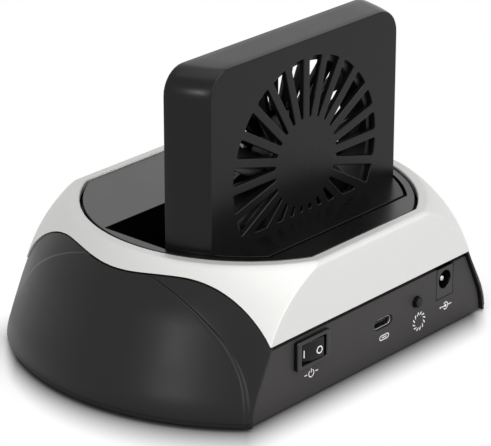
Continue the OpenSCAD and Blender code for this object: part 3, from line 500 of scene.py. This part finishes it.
def cheekShape(side):
    c, b = cheek, bodyForm
    z0 = c["bottom"]
    ca, cb = c["petalHalf"], c["petalHeight"]
    corner = math.atan2((seamHeight(b["halfDepth"]) - b["seam"] / 2 - z0) / (cb - z0), b["halfDepth"] / ca)
    angle = np.unique(np.concatenate([np.linspace(0, np.pi, c["rays"]), [corner, np.pi - corner]]))
    cosA, sinA = np.cos(angle), np.sin(angle)
    # where each ray meets the crease ellipse and where it leaves the cheek
    qa = cosA ** 2 + ((cb - z0) * sinA / cb) ** 2
    qb = 2 * z0 * (cb - z0) * sinA / cb ** 2
    crease = (-qb + np.sqrt(qb ** 2 - 4 * qa * ((z0 / cb) ** 2 - 1))) / (2 * qa)
    near, far = np.zeros_like(angle), b["halfDepth"] / np.maximum(ca * np.abs(cosA), 1e-6)
    end = np.minimum(far, c["farthest"])
    for halving in range(c["halvings"]):
        mid = (near + end) / 2
        inside = z0 + (cb - z0) * mid * sinA < seamHeight(ca * mid * cosA) - b["seam"] / 2
        near, end = np.where(inside, mid, near), np.where(inside, end, mid)
    reach = np.minimum(far, near)
    scale = np.hypot(ca * cosA, (cb - z0) * sinA)
    wide = c["slope"] * earStep(z0 + (cb - z0) * crease * sinA)
    # rows across the crease in shares of its width, closer together at the risers and in the groove
    e, k = c["round"], c["riser"]
    rise = k * np.array([-e, 0, e, 0.5, 1 - e, 1, 1 + e])
    u = np.concatenate([[-1.5, -0.5], rise, [0.4, 0.5, 0.6], 1 - k + rise, [1.5]])
    band = (u[:, None] * wide) / scale
    innerRows = np.linspace(0, 1, c["inner"])[:, None] * (crease + band[0])
    bandRows = crease + band[1:]
    lastRow = np.maximum(reach, bandRows[-1] + c["leastOuter"] / scale)
    outerRows = bandRows[-1] + (lastRow - bandRows[-1]) * np.linspace(0, 1, c["outer"])[1:, None]
    rows = np.concatenate([innerRows, bandRows, outerRows]) * (reach / lastRow)
    y = ca * rows * cosA
    z = z0 + (cb - z0) * rows * sinA
    off = (rows - crease) * scale / wide
    # the crease is two small risers at the bottom; near the top it turns into a fine groove at the rear end and into
    # one riser at the front end
    drop = earStep(z) * (roundedRamp(off / k, e) + roundedRamp((off - 1 + k) / k, e)) / 2
    high = np.clip((z - c["highFrom"]) / c["highFade"], 0, 1)
    groove = c["groove"] * np.exp(-((off - 0.5) / c["grooveWide"]) ** 2)
    drop = drop + high * np.where(y > 0, groove, c["frontStep"] * roundedRamp(off, e))
    outside = np.sqrt((flankRadius(z) - drop) ** 2 - y ** 2)
    inside = np.sqrt((flankRadius(z) - c["wall"]) ** 2 - y ** 2)
    inside = np.where(np.abs(y) > c["roomFront"], np.maximum(inside, earHalf(z)), inside)
    n, m = y.shape
    outer = np.stack([side * outside, y, z], -1)
    inner = np.stack([side * inside, y, z], -1)
    top = np.stack([outer[-1], inner[-1]])
    ends = [np.stack([outer[:, i], inner[:, i]]) for i in (0, -1)]
    return joined((outer, gridFaces(n, m)), (inner, gridFaces(n, m)), (top, gridFaces(2, m)),
                  (ends[0], gridFaces(2, n)), (ends[1], gridFaces(2, n)))


for name, node, side in (("right_cheek", "side_cheek_right", 1), ("left_cheek", "side_cheek_left", -1)):
    addPiece(name, cheekShape(side), charcoal, replaces=[node], bevel=cheek["bevel"])
print("cheeks made")

# Front and rear panels: flat plates between the cheeks' ears
panel = dict(recess=1.3, thick=2.0, bottom=0.8, top=23.3, gap=0.25, rounding=0.2, rows=7)
switch = dict(x=30.4, z=17.4, bezelW=16.4, bezelH=10.2, bezelCorner=1.0, bezelEdge=0.4, proud=1.7, bodyW=13.2,
              bodyH=9.0, bodyEdge=0.05, depth=13.0, openW=12.0, openH=7.4, cavity=7.2, corner=0.3, clear=0.1)
usb = dict(x=-6.8, z=13.63, w=8.94, h=3.26, wall=0.3, inward=0.7, length=7.3, backWall=1.0, edge=0.1, clear=0.3)
button = dict(x=-24.2, z=15.4, d=3.6, out=1.8, round=0.55, flangeFrom=2.3, flangeTo=3.3, flange=1.0, stem=1.4,
              end=8.0, clear=0.2)
jack = dict(x=-39.6, z=18.5, low=12.0, w=9.0, h=11.0, length=14.2, bore=6.4, boreDepth=9.5, pin=2.1, pinIn=1.0,
            pinRound=0.5, corner=0.3, edge=0.25, backEdge=0.1, clear=0.15)
lens = dict(z=15.0, d=3.0, out=0.6, round=0.45, flangeFrom=2.0, flangeTo=3.0, flange=0.4, stem=1.5, end=6.9,
            clear=0.06)
rear = bodyForm["halfDepth"] - panel["recess"]


def panelOutline(notch=None):
    p = panel
    z = np.linspace(p["bottom"], p["top"], p["rows"])
    right = np.stack([earHalf(z) - p["gap"], z], 1)
    topEdge = np.array(notch if notch else []).reshape(-1, 2)
    return np.concatenate([right, topEdge, right[::-1] * [-1, 1]])


def obround(x, z, w, h, count=12):
    a = np.linspace(-np.pi / 2, np.pi / 2, count)
    end = np.stack([(w - h) / 2 + h / 2 * np.cos(a), h / 2 * np.sin(a)], 1)
    return np.concatenate([end, end * [-1, -1]]) + [x, z]


jackLow, jackHalf = jack["low"] - jack["clear"], jack["w"] / 2 + jack["clear"]
jackNotch = [[jack["x"] + jackHalf, panel["top"]], [jack["x"] + jackHalf, jackLow],
             [jack["x"] - jackHalf, jackLow], [jack["x"] - jackHalf, panel["top"]]]
rearHoles = [obround(usb["x"], usb["z"], usb["w"] + 2 * usb["clear"], usb["h"] + 2 * usb["clear"]),
             circle(button["x"], button["z"], button["d"] / 2 + button["clear"]),
             rectangle(switch["x"], switch["z"], switch["bodyW"] + 2 * switch["clear"],
                       switch["bodyH"] + 2 * switch["clear"])]
addPiece("back_panel", plate(panelOutline(jackNotch), rearHoles, rear - panel["thick"], rear, panel["rounding"],
                             inElevation), panelCharcoalPaintedLight, replaces=["rear_panel"])
addPiece("face_panel", plate(panelOutline(), [circle(0, lens["z"], lens["d"] / 2 + lens["clear"])], -rear,
                             -rear + panel["thick"], panel["rounding"], inElevation),
         panelCharcoalPaintedLight, replaces=["front_panel"])
print("panels made")

# Gloss deck with the drive slot and the cut-out for the tower's foot
deck = dict(top=46.6, thick=2.2, radius=55.1, flat=48.85, slotHalf=51.5, slotFront=-16.7, rounding=0.2, points=120)
tower = dict(radius=52.424, front=9.8, rear=24.8, footRear=39.3, top=106.7, corner=8.8, wall=1.8, edge=0.35,
             faceInset=1.8, frontLip=0.1, coverGap=0.15, bottom=44.4, gap=0.2, footGap=0.9, footIn=0.4,
             footCorner=1.2, footPoints=8, cornerPoints=9, sideRows=7, topColumns=6, edgePoints=5, depthRows=6)


# disc cut off by two straight lines, at y = low and y = high
def flatDisc(radius, low, high, count=40):
    a0, a1 = math.asin(low / radius), math.asin(high / radius)
    a = np.linspace(a0, a1, count)
    right = radius * np.stack([np.cos(a), np.sin(a)], 1)
    return np.concatenate([right, right[::-1] * [-1, 1]])


towerCut = flatDisc(tower["radius"] + tower["gap"], tower["front"], tower["footRear"] + tower["gap"])
slotCut = np.array([[-deck["slotHalf"], deck["slotFront"]], [deck["slotHalf"], deck["slotFront"]],
                    [deck["slotHalf"], tower["front"]]])
deckHole = np.concatenate([slotCut, towerCut, [[-deck["slotHalf"], tower["front"]]]])
addPiece("gloss_deck", plate(flatDisc(deck["radius"], -deck["flat"], deck["flat"], deck["points"]), [deckHole],
                             deck["top"] - deck["thick"], deck["top"], deck["rounding"], inPlan),
         glossBlack, replaces=["deck"])
footOutline = flatDisc(tower["radius"] - tower["footGap"], tower["rear"] - tower["footIn"],
                       tower["footRear"] - tower["footGap"], tower["footPoints"])
addPiece("tower_foot", plate(roundCorners(footOutline, tower["footCorner"]), [], deck["top"] - deck["thick"],
                             deck["top"], deck["rounding"], inPlan), satinBlack)
print("deck made")

# Fan grille: slots between radial ribs of even width, cut off just above the deck
grille = dict(centreZ=65.0, outer=35.6, hub=15.2, count=24, rib=3.1, floor=48.0, corner=0.7, edge=0.3,
              outerPoints=5, hubPoints=2)


# the part of an outline above a level
def clippedAbove(loop, level):
    out = []
    for p, q in zip(loop, np.roll(loop, -1, 0)):
        if p[1] >= level:
            out.append(p)
        if (p[1] >= level) != (q[1] >= level):
            out.append(p + (q - p) * (level - p[1]) / (q[1] - p[1]))
    return np.array(out)


def grilleSlots():
    g = grille
    slots = []
    for i in range(g["count"]):
        middle = 2 * np.pi * (i + 0.5) / g["count"]
        wide = [np.pi / g["count"] - math.asin(g["rib"] / 2 / r) for r in (g["hub"], g["outer"])]
        a = middle + np.concatenate([np.linspace(-wide[1], wide[1], g["outerPoints"]),
                                     np.linspace(wide[0], -wide[0], g["hubPoints"])])
        r = np.repeat([g["outer"], g["hub"]], [g["outerPoints"], g["hubPoints"]])
        loop = clippedAbove(np.stack([r * np.cos(a), g["centreZ"] + r * np.sin(a)], 1), g["floor"])
        if len(loop) > 2:
            slots.append(roundCorners(loop, g["corner"]))
    return slots


# outline of the tower at depth y, drawn in by inset: up one side, round both corners and down the other
def towerPath(y, inset):
    t = tower
    half, top, corner = math.sqrt(t["radius"] ** 2 - y ** 2) - inset, t["top"] - inset, t["corner"] - inset
    a = np.linspace(0, np.pi / 2, t["cornerPoints"])
    arc = np.stack([half - corner + corner * np.cos(a), top - corner + corner * np.sin(a)], 1)
    side = np.linspace(t["bottom"], top - corner, t["sideRows"])[:-1]
    across = np.linspace(half - corner, 0, t["topColumns"])[1:-1]
    right = np.concatenate([np.stack([0 * side + half, side], 1), arc, np.stack([across, 0 * across + top], 1)])
    return np.concatenate([right, [[0, top]], right[::-1] * [-1, 1]])


# tower skin: the outline runs from the rear face round its edge, along the sides, round the front edge and back
# inside; the rear wall between the slots is filled on both faces
def towerShape():
    t, g = tower, grille
    a = np.linspace(0, np.pi / 2, t["edgePoints"])
    e = t["edge"]
    lip, wall = t["frontLip"], t["wall"]
    sides = np.linspace(t["rear"] - e, t["front"] + e, t["depthRows"])[1:-1]
    depths = np.concatenate([[t["rear"]], t["rear"] - e * (1 - np.cos(a)), sides, t["front"] + e * (1 - np.sin(a)),
                             [t["front"], t["front"] + lip, t["rear"] - wall]])
    insets = np.concatenate([[e * t["faceInset"]], e * (1 - np.sin(a)), 0 * sides, e * (1 - np.cos(a)),
                             [wall - lip, wall, wall]])
    paths = np.stack([towerPath(y, d) for y, d in zip(depths, insets)])
    rings = np.stack([paths[..., 0], np.broadcast_to(depths[:, None], paths.shape[:2]), paths[..., 1]], -1)
    n, m = rings.shape[:2]
    points, faces, first = [rings.reshape(-1, 3)], gridFaces(n, m), n * m
    index = np.arange(n * m).reshape(n, m)
    rims = [[(paths[0], index[0])], [(paths[-1], index[-1])]]
    inset = g["edge"] * np.concatenate([[outlineForm["faceInset"]], 1 - np.sin(a), [0]])
    level = t["rear"] - np.concatenate([[0], g["edge"] * (1 - np.cos(a)), [wall]])
    for slot in grilleSlots():
        wallPoints, wallFaces, *ends = outlineWalls(turned(slot, False), inset, level, first)
        points.append(inElevation(wallPoints))
        faces += wallFaces
        for rim, end in zip(rims, ends):
            rim.append(end)
        first += len(wallPoints)
    flat = np.concatenate(points)
    bottom = np.concatenate([index[:, 0], index[::-1, -1]])
    rims.append([(flat[bottom][:, :2], bottom)])
    for rim in rims:
        faces += filled(rim)
    return flat, faces


addPiece("tower_skin", towerShape(), satinBlack, replaces=["tower_shell"])
frontCover = towerPath(tower["front"], tower["wall"] + tower["coverGap"])
addPiece("tower_face", plate(frontCover, grilleSlots(), tower["front"], tower["front"] + tower["wall"],
                             grille["edge"], inElevation), satinBlack, replaces=["tower_front"])
print("tower made")

# Fan rotor: domed cup and swept, twisted blades
rotor = dict(front=12.8, hub=15.0, low=2.1, high=9.5, wall=1.4, roof=1.6, blades=9, tip=32.7, rootPitch=36.0,
             tipPitch=21.0, reach=2.85, sweep=13.0, sweepPower=1.5, thick=1.1, camber=0.5, rootIn=0.8, shift=-0.2,
             first=0.2, hubRound=1.4, rows=14, columns=28, hubColumns=96)


# blade: an oval section whose chord turns flatter and grows longer from root to tip, bent forward by a sweep
def bladeShape(turn):
    r = rotor
    radius = np.linspace(r["hub"] - r["rootIn"], r["tip"], r["rows"])[:, None]
    along = (radius - r["hub"]) / (r["tip"] - r["hub"])
    pitch = np.radians(r["rootPitch"] + (r["tipPitch"] - r["rootPitch"]) * along)
    w = np.linspace(0, 2 * np.pi, r["columns"], endpoint=False)
    chord = np.cos(w) * (r["reach"] - r["thick"] / 2) / np.sin(pitch)
    lift = np.sin(w) * r["thick"] / 2 + r["camber"] * np.sin(w) ** 2
    around = chord * np.cos(pitch) - lift * np.sin(pitch)
    deep = chord * np.sin(pitch) + lift * np.cos(pitch)
    angle = turn + np.radians(r["sweep"]) * np.clip(along, 0, 1) ** r["sweepPower"] - around / radius
    middle = r["front"] + (r["low"] + r["high"]) / 2 + r["shift"]
    points = np.stack([radius * np.cos(angle), middle + deep, grille["centreZ"] + radius * np.sin(angle)], -1)
    n, m = points.shape[:2]
    faces = gridFaces(n, m, wrapCols=True) + [list(range((n - 1) * m, n * m)), list(range(m))]
    return points, faces


hubInside, hubRoof = rotor["hub"] - rotor["wall"], rotor["high"] - rotor["roof"]
hubProfile = ([[0, rotor["high"]]] + roundedEdge(rotor["hub"], rotor["high"], rotor["hubRound"])
              + [[rotor["hub"], rotor["low"]], [hubInside, rotor["low"]], [hubInside, hubRoof], [0, hubRoof]])
hubShape = lathe(hubProfile, alongY(0, rotor["front"], grille["centreZ"]), rotor["hubColumns"])
blades = [bladeShape(2 * np.pi * (i + rotor["first"]) / rotor["blades"]) for i in range(rotor["blades"])]
addPiece("fan_wheel", joined(hubShape, *blades), fanBlack, rides="fan", replaces=["fan_rotor"],
         sharp=50)
print("fan wheel made")

# Rocker switch
switchAt = (switch["x"], switch["z"])
opening = rectangle(*switchAt, switch["openW"], switch["openH"], switch["corner"])
bezelOutline = rectangle(*switchAt, switch["bezelW"], switch["bezelH"], switch["bezelCorner"])
bodyOutline = rectangle(*switchAt, switch["bodyW"], switch["bodyH"], switch["corner"])
bezel = plate(bezelOutline, [opening], rear, rear + switch["proud"], switch["bezelEdge"], inElevation)
cavityEnd = rear - switch["cavity"]
housing = plate(bodyOutline, [opening], cavityEnd, rear, switch["bodyEdge"], inElevation)
housingBack = plate(bodyOutline, [], rear - switch["depth"], cavityEnd, switch["bodyEdge"], inElevation)
addPiece("switch_bezel", joined(bezel, housing, housingBack), glossBlack, replaces=["switch_body"])

rocker = dict(pivotY=51.6, tilt=-13.0, half=5.2, face=2.6, fall=9.0, tall=7.0, pivot=1.2, pivotLong=8.4,
              shoulder=0.6, keelHalf=1.8, keelDeep=3.4, corner=0.45, edge=0.35)


# rocker's own frame: x along the face, y out of it, turned to the rest tilt about the upright pivot; the face is
# two planes that fall away from a ridge in the middle
def onRocker(p):
    a = math.radians(rocker["tilt"])
    x, y = p[:, 0] * math.cos(a) - p[:, 1] * math.sin(a), p[:, 0] * math.sin(a) + p[:, 1] * math.cos(a)
    return np.stack([switch["x"] + x, rocker["pivotY"] + y, switch["z"] + p[:, 2]], 1)


rockerFall = math.tan(math.radians(rocker["fall"]))
rockerSide = np.array([[rocker["half"], rocker["face"] - rockerFall * rocker["half"]],
                       [rocker["half"], rocker["shoulder"]], [rocker["keelHalf"], -rocker["keelDeep"]]])
rockerOutline = np.concatenate([[[0, rocker["face"]]], rockerSide * [-1, 1], rockerSide[::-1]])
rockerBlock = plate(roundCorners(rockerOutline, rocker["corner"]), [], -rocker["tall"] / 2, rocker["tall"] / 2,
                    rocker["edge"], onRocker)
pinEnd = rocker["pivotLong"] / 2
rockerPin = lathe([[0, -pinEnd], [rocker["pivot"], -pinEnd], [rocker["pivot"], pinEnd], [0, pinEnd]], onRocker,
                  count=24)
addPiece("rocker", joined(rockerBlock, rockerPin), satinBlack, rides="rocker", replaces=["power_rocker"])


# Printed marks lie on their face as thin films
ink = dict(sunk=0.02, proud=0.03, edge=0.008)
marks = dict(ring=(-3.1, -0.6), ringOut=1.35, ringIn=0.95, stroke=(3.075, -0.6), strokeW=0.35, strokeH=2.6,
             strokeCorner=0.1)


def printed(outer, holes, level, place):
    return plate(outer, holes, level - ink["sunk"], level + ink["proud"], ink["edge"], place, steps=1)


def onRockerFace(p):
    return onRocker(np.stack([p[:, 0], rocker["face"] - rockerFall * np.abs(p[:, 0]) + p[:, 2], p[:, 1]], 1))


ringOut = circle(*marks["ring"], marks["ringOut"], count=40)
ringIn = circle(*marks["ring"], marks["ringIn"], count=40)
ringMark = printed(ringOut, [ringIn], 0, onRockerFace)
strokeMark = printed(rectangle(*marks["stroke"], marks["strokeW"], marks["strokeH"], marks["strokeCorner"]), [], 0,
                     onRockerFace)
addPiece("rocker_marks", joined(ringMark, strokeMark), whiteInk, rides="rocker")
print("switch made")

# Sockets and button on the rear panel
usbOuter = obround(usb["x"], usb["z"], usb["w"], usb["h"])
usbInner = obround(usb["x"], usb["z"], usb["w"] - 2 * usb["wall"], usb["h"] - 2 * usb["wall"])
usbMouth, usbEnd = rear - usb["inward"], rear - usb["inward"] - usb["length"]
usbShell = plate(usbOuter, [usbInner], usbEnd + usb["backWall"], usbMouth, usb["edge"], inElevation)
usbBack = plate(usbOuter, [], usbEnd, usbEnd + usb["backWall"], usb["edge"], inElevation)
addPiece("usb_shell", joined(usbShell, usbBack), nickelSteel, replaces=["usb_c_socket"])

jackOutline = rectangle(jack["x"], jack["low"] + jack["h"] / 2, jack["w"], jack["h"], jack["corner"])
jackBore = circle(jack["x"], jack["z"], jack["bore"] / 2, count=64)
boreEnd = rear - jack["boreDepth"]
jackFront = plate(jackOutline, [jackBore], boreEnd, rear, jack["edge"], inElevation)
jackBack = plate(jackOutline, [], rear - jack["length"], boreEnd, jack["backEdge"], inElevation)
addPiece("power_jack", joined(jackFront, jackBack), glossBlack, replaces=["dc_jack"])
pinLong, pinRadius = jack["boreDepth"] - jack["pinIn"], jack["pin"] / 2
pinProfile = [[0, pinLong]] + roundedEdge(pinRadius, pinLong, jack["pinRound"]) + [[pinRadius, 0], [0, 0]]
addPiece("power_jack_pin", lathe(pinProfile, alongY(jack["x"], boreEnd, jack["z"]), count=32), nickelSteel,
         replaces=["dc_jack_pin"])


# stud along its axis: rounded head, a flange behind the panel and a stem
def studProfile(stud):
    radius, wide = stud["d"] / 2, stud["d"] / 2 + stud["flange"]
    return ([[0, stud["out"]]] + roundedEdge(radius, stud["out"], stud["round"])
            + [[radius, -stud["flangeFrom"]], [wide, -stud["flangeFrom"]], [wide, -stud["flangeTo"]],
               [stud["stem"], -stud["flangeTo"]], [stud["stem"], -stud["end"]], [0, -stud["end"]]])


addPiece("fan_push_button", lathe(studProfile(button), alongY(button["x"], rear, button["z"])), satinBlack,
         rides="button", replaces=["fan_button"])


def facingFront(p):
    return np.stack([p[:, 0], -rear - p[:, 2], lens["z"] + p[:, 1]], 1)


addPiece("front_lens", lathe(studProfile(lens), facingFront), clearLens, replaces=["status_led"])
print("sockets made")

# White signs on the rear panel: plain outlines with no words
signs = dict(power=(29.9, 8.85), port=(-7.3, 8.5), fan=(-25.9, 7.7), jack=(-40.35, 8.6), line=0.34, dot=0.55,
             ring=1.25, arcPoints=24, portW=5.0, portH=1.9, portTongue=2.6, dashes=12, dashIn=2.25, dashOut=3.35,
             dashWide=11.0, dashLean=17.0, jackArc=(40, 320), plus=(2.75, 0.9), powerArc=(125, 415), arcDrop=0.1,
             powerStroke=(0.9, 1.5), jackLines=((1.35, 1.7), (2.75, 0.9), (-1.75, 1.0), (-2.85, 0.8)),
             powerLines=((-2.7, 1.3), (2.7, 1.3)))


def sign(outer, holes=()):
    return printed(outer, list(holes), rear, inElevation)


def arcSign(x, z, start, stop):
    a = np.radians(np.linspace(start, stop, signs["arcPoints"]))
    edge = np.stack([np.cos(a), np.sin(a)], 1)
    outer, inner = signs["ring"] + signs["line"] / 2, signs["ring"] - signs["line"] / 2
    return sign(np.concatenate([edge * outer, edge[::-1] * inner]) + [x, z])


# level lines, each given by its middle's shift along x and its length
def levelSigns(x, z, lines):
    return [sign(rectangle(x + shift, z, wide, signs["line"])) for shift, wide in lines]


def uprightSign(x, z, tall):
    return sign(rectangle(x, z, signs["line"], tall))


# slanted dash of the fan ring: inner and outer edge are arcs, the outer one turned on by the lean
def fanDash(turn):
    g = signs
    corners = [(g["dashIn"], turn), (g["dashOut"], turn + g["dashLean"]),
               (g["dashOut"], turn + g["dashLean"] + g["dashWide"]), (g["dashIn"], turn + g["dashWide"])]
    outline = [[r * math.cos(math.radians(a)), r * math.sin(math.radians(a))] for r, a in corners]
    return sign(np.array(outline) + g["fan"])


# dot in an open ring between a plus and a minus
def jackSign(x, z):
    shift, tall = signs["plus"]
    return [sign(circle(x, z, signs["dot"], count=20)), arcSign(x, z, *signs["jackArc"]),
            uprightSign(x + shift, z, tall), *levelSigns(x, z, signs["jackLines"])]


# outline of a plug with its tongue
def plugSign(x, z):
    wide, tall, edge = signs["portW"], signs["portH"], 2 * signs["line"]
    return [sign(obround(x, z, wide, tall), [obround(x, z, wide - edge, tall - edge)]),
            *levelSigns(x, z, [(0, signs["portTongue"])])]


# open ring with a stroke, between two dashes
def powerSign(x, z):
    rise, tall = signs["powerStroke"]
    return [arcSign(x, z - signs["arcDrop"], *signs["powerArc"]), uprightSign(x, z + rise, tall),
            *levelSigns(x, z, signs["powerLines"])]


fanRing = [fanDash(360 * i / signs["dashes"]) for i in range(signs["dashes"])]
addPiece("panel_signs", joined(*fanRing, *jackSign(*signs["jack"]), *plugSign(*signs["port"]),
                               *powerSign(*signs["power"])), whiteInk)
print("signs made")

# Camera: where the photograph was taken from, in the dock's own frame
view = dict(place=(613.09, 537.06, 373.88), azimuth=131.292, elevation=22.471, focalPixels=2640.4, imageWidth=491,
            sensor=36, farEnd=50)
camera = bpy.data.cameras.new("camera")
camera.sensor_width = view["sensor"]
camera.lens = camera.sensor_width * view["focalPixels"] / view["imageWidth"]
camera.clip_end = view["farEnd"]
cameraObject = bpy.data.objects.new("camera", camera)
scene.collection.objects.link(cameraObject)
azimuth, elevation = math.radians(view["azimuth"]), math.radians(view["elevation"])
level = math.cos(elevation)
back = Vector((math.sin(azimuth) * level, -math.cos(azimuth) * level, math.sin(elevation)))
cameraObject.location = Vector(view["place"]) * mm
cameraObject.rotation_mode = "QUATERNION"
cameraObject.rotation_quaternion = (-back).to_track_quat("-Z", "Y")
scene.camera = cameraObject

# Studio: pale floor with a painted soft shadow drawn forward from the dock's base, white surround and soft lamps
studio = dict(floorSize=6.0, floorColor="#FFFFFF", floorRoughness=0.6, floorGloss=0.1, shadeColor="#080808",
              shadeBack=4.5, shadeReach=19.5, shadeFall=1.3, shadeSide=24.0, baseRadius=81.9, baseFlat=53.5,
              azimuth=131.3, whiteFrom=0.5, whiteTo=14.0, surround=0.4)


# 1 for the rays that show the background: camera, mirror and glass
def shownRays(tree):
    rays = addNode(tree, "LightPath").outputs
    direct = addNode(tree, "Math", {0: rays["Is Camera Ray"], 1: rays["Is Glossy Ray"]}, operation="MAXIMUM")
    return addNode(tree, "Math", {0: direct.outputs[0], 1: rays["Is Transmission Ray"]},
                   operation="MAXIMUM").outputs[0]


def floorMaterial():
    material, tree, where = newMaterial("pale_studio_floor_painted_shadow")
    t = studio

    def reckon(operation, *values):
        return addNode(tree, "Math", dict(enumerate(values)), operation=operation).outputs[0]

    def ranged(value, **limits):
        return addNode(tree, "MapRange", {"Value": value, **limits}).outputs["Result"]

    def dot(x, y):
        return addNode(tree, "VectorMath", {0: where, 1: (x, y, 0)}, operation="DOT_PRODUCT").outputs["Value"]

    # painted soft shadow, drawn forward from the base, a circle cut by two flats: a line back from the floor point
    # enters the base after enter and leaves it after leave; shade = ((reach - enter) / (reach + back))^fall, times
    # its way through the base as a share of shadeSide
    aheadX, aheadY = math.sin(math.radians(t["azimuth"])), -math.cos(math.radians(t["azimuth"]))
    y = addNode(tree, "SeparateXYZ", {0: where}).outputs["Y"]
    along, across = dot(aheadX, aheadY), dot(aheadY, -aheadX)
    room = reckon("SUBTRACT", (t["baseRadius"] * mm) ** 2, reckon("MULTIPLY", across, across))
    chord = reckon("SQRT", reckon("MAXIMUM", room, 0.0))
    ends = [reckon("DIVIDE", reckon("ADD", y, side * t["baseFlat"] * mm), aheadY) for side in (-1, 1)]
    enter = reckon("MAXIMUM", reckon("SUBTRACT", along, chord), ends[0])
    leave = reckon("MINIMUM", reckon("ADD", along, chord), ends[1])
    near = ranged(enter, **{"From Min": -t["shadeBack"] * mm, "From Max": t["shadeReach"] * mm, "To Min": 1.0,
                            "To Max": 0.0})
    through = reckon("SUBTRACT", leave, reckon("MAXIMUM", enter, 0.0))
    met = ranged(through, **{"From Max": t["shadeSide"] * mm})
    shade = reckon("MULTIPLY", reckon("POWER", near, t["shadeFall"]), met)
    tone = addNode(tree, "Mix", {0: shade, 6: linear(t["floorColor"]), 7: linear(t["shadeColor"])},
                   data_type="RGBA").outputs[2]
    lit = addNode(tree, "BsdfPrincipled", {"Base Color": tone, "Roughness": t["floorRoughness"],
                                           "Specular IOR Level": t["floorGloss"]})
    # away from the dock's foot the floor shows its colour, painted shadow included, to the camera and in reflections,
    # however it is lit
    distance = addNode(tree, "VectorMath", {0: where}, operation="LENGTH").outputs["Value"]
    outside = reckon("MAXIMUM", reckon("SUBTRACT", distance, t["baseRadius"] * mm),
                     reckon("SUBTRACT", reckon("ABSOLUTE", y), t["baseFlat"] * mm))
    far = ranged(outside, **{"From Min": t["whiteFrom"] * mm, "From Max": t["whiteTo"] * mm})
    plain = addNode(tree, "Emission", {"Color": tone, "Strength": 1.0})
    mixed = addNode(tree, "MixShader", {0: reckon("MULTIPLY", far, shownRays(tree)), 1: lit.outputs["BSDF"],
                                        2: plain.outputs["Emission"]})
    addNode(tree, "OutputMaterial", {"Surface": mixed.outputs["Shader"]})
    return material


floorMesh = bpy.data.meshes.new("floor")
floorHalf = studio["floorSize"] / 2
floorCorners = [(-floorHalf, -floorHalf, 0), (floorHalf, -floorHalf, 0), (floorHalf, floorHalf, 0),
                (-floorHalf, floorHalf, 0)]
floorMesh.from_pydata(floorCorners, [], [(0, 1, 2, 3)])
floorMesh.materials.append(floorMaterial())
floor = bpy.data.objects.new("floor", floorMesh)
scene.collection.objects.link(floor)

world = bpy.data.worlds.new("studio")
scene.world = world
world.use_nodes = True
sky = world.node_tree
sky.nodes.clear()
strength = addNode(sky, "MapRange", {"Value": shownRays(sky), "To Min": studio["surround"], "To Max": 1.0})
glow = addNode(sky, "Background", {"Color": linear("#FFFFFF"), "Strength": strength.outputs["Result"]})
addNode(sky, "OutputWorld", {"Surface": glow.outputs["Background"]})

lampTarget = (0.0, 0.0, 0.03)
lamps = [
    dict(name="overhead", place=(0.0, 0.0, 1.1), size=1.0, power=3.6),
    dict(name="overhead_rear", place=(0.0, 0.6, 1.0), size=0.8, power=3.4),
    dict(name="left_strip", place=(1.15, 0.16, 0.36), size=0.25, power=2.6),
    dict(name="right_strip", place=(0.3, 1.1, 0.38), size=0.45, power=2.6),
    dict(name="far_right_strip", place=(-0.35, 1.15, 0.5), size=0.5, power=4.6),
]
for lamp in lamps:
    light = bpy.data.lights.new(lamp["name"], "AREA")
    light.energy = lamp["power"]
    light.size = lamp["size"]
    lampObject = bpy.data.objects.new(lamp["name"], light)
    scene.collection.objects.link(lampObject)
    lampObject.location = lamp["place"]
    aim = Vector(lampTarget) - Vector(lamp["place"])
    lampObject.rotation_euler = aim.to_track_quat("-Z", "Y").to_euler()
scene.view_settings.view_transform = "Standard"
print("camera and studio set")
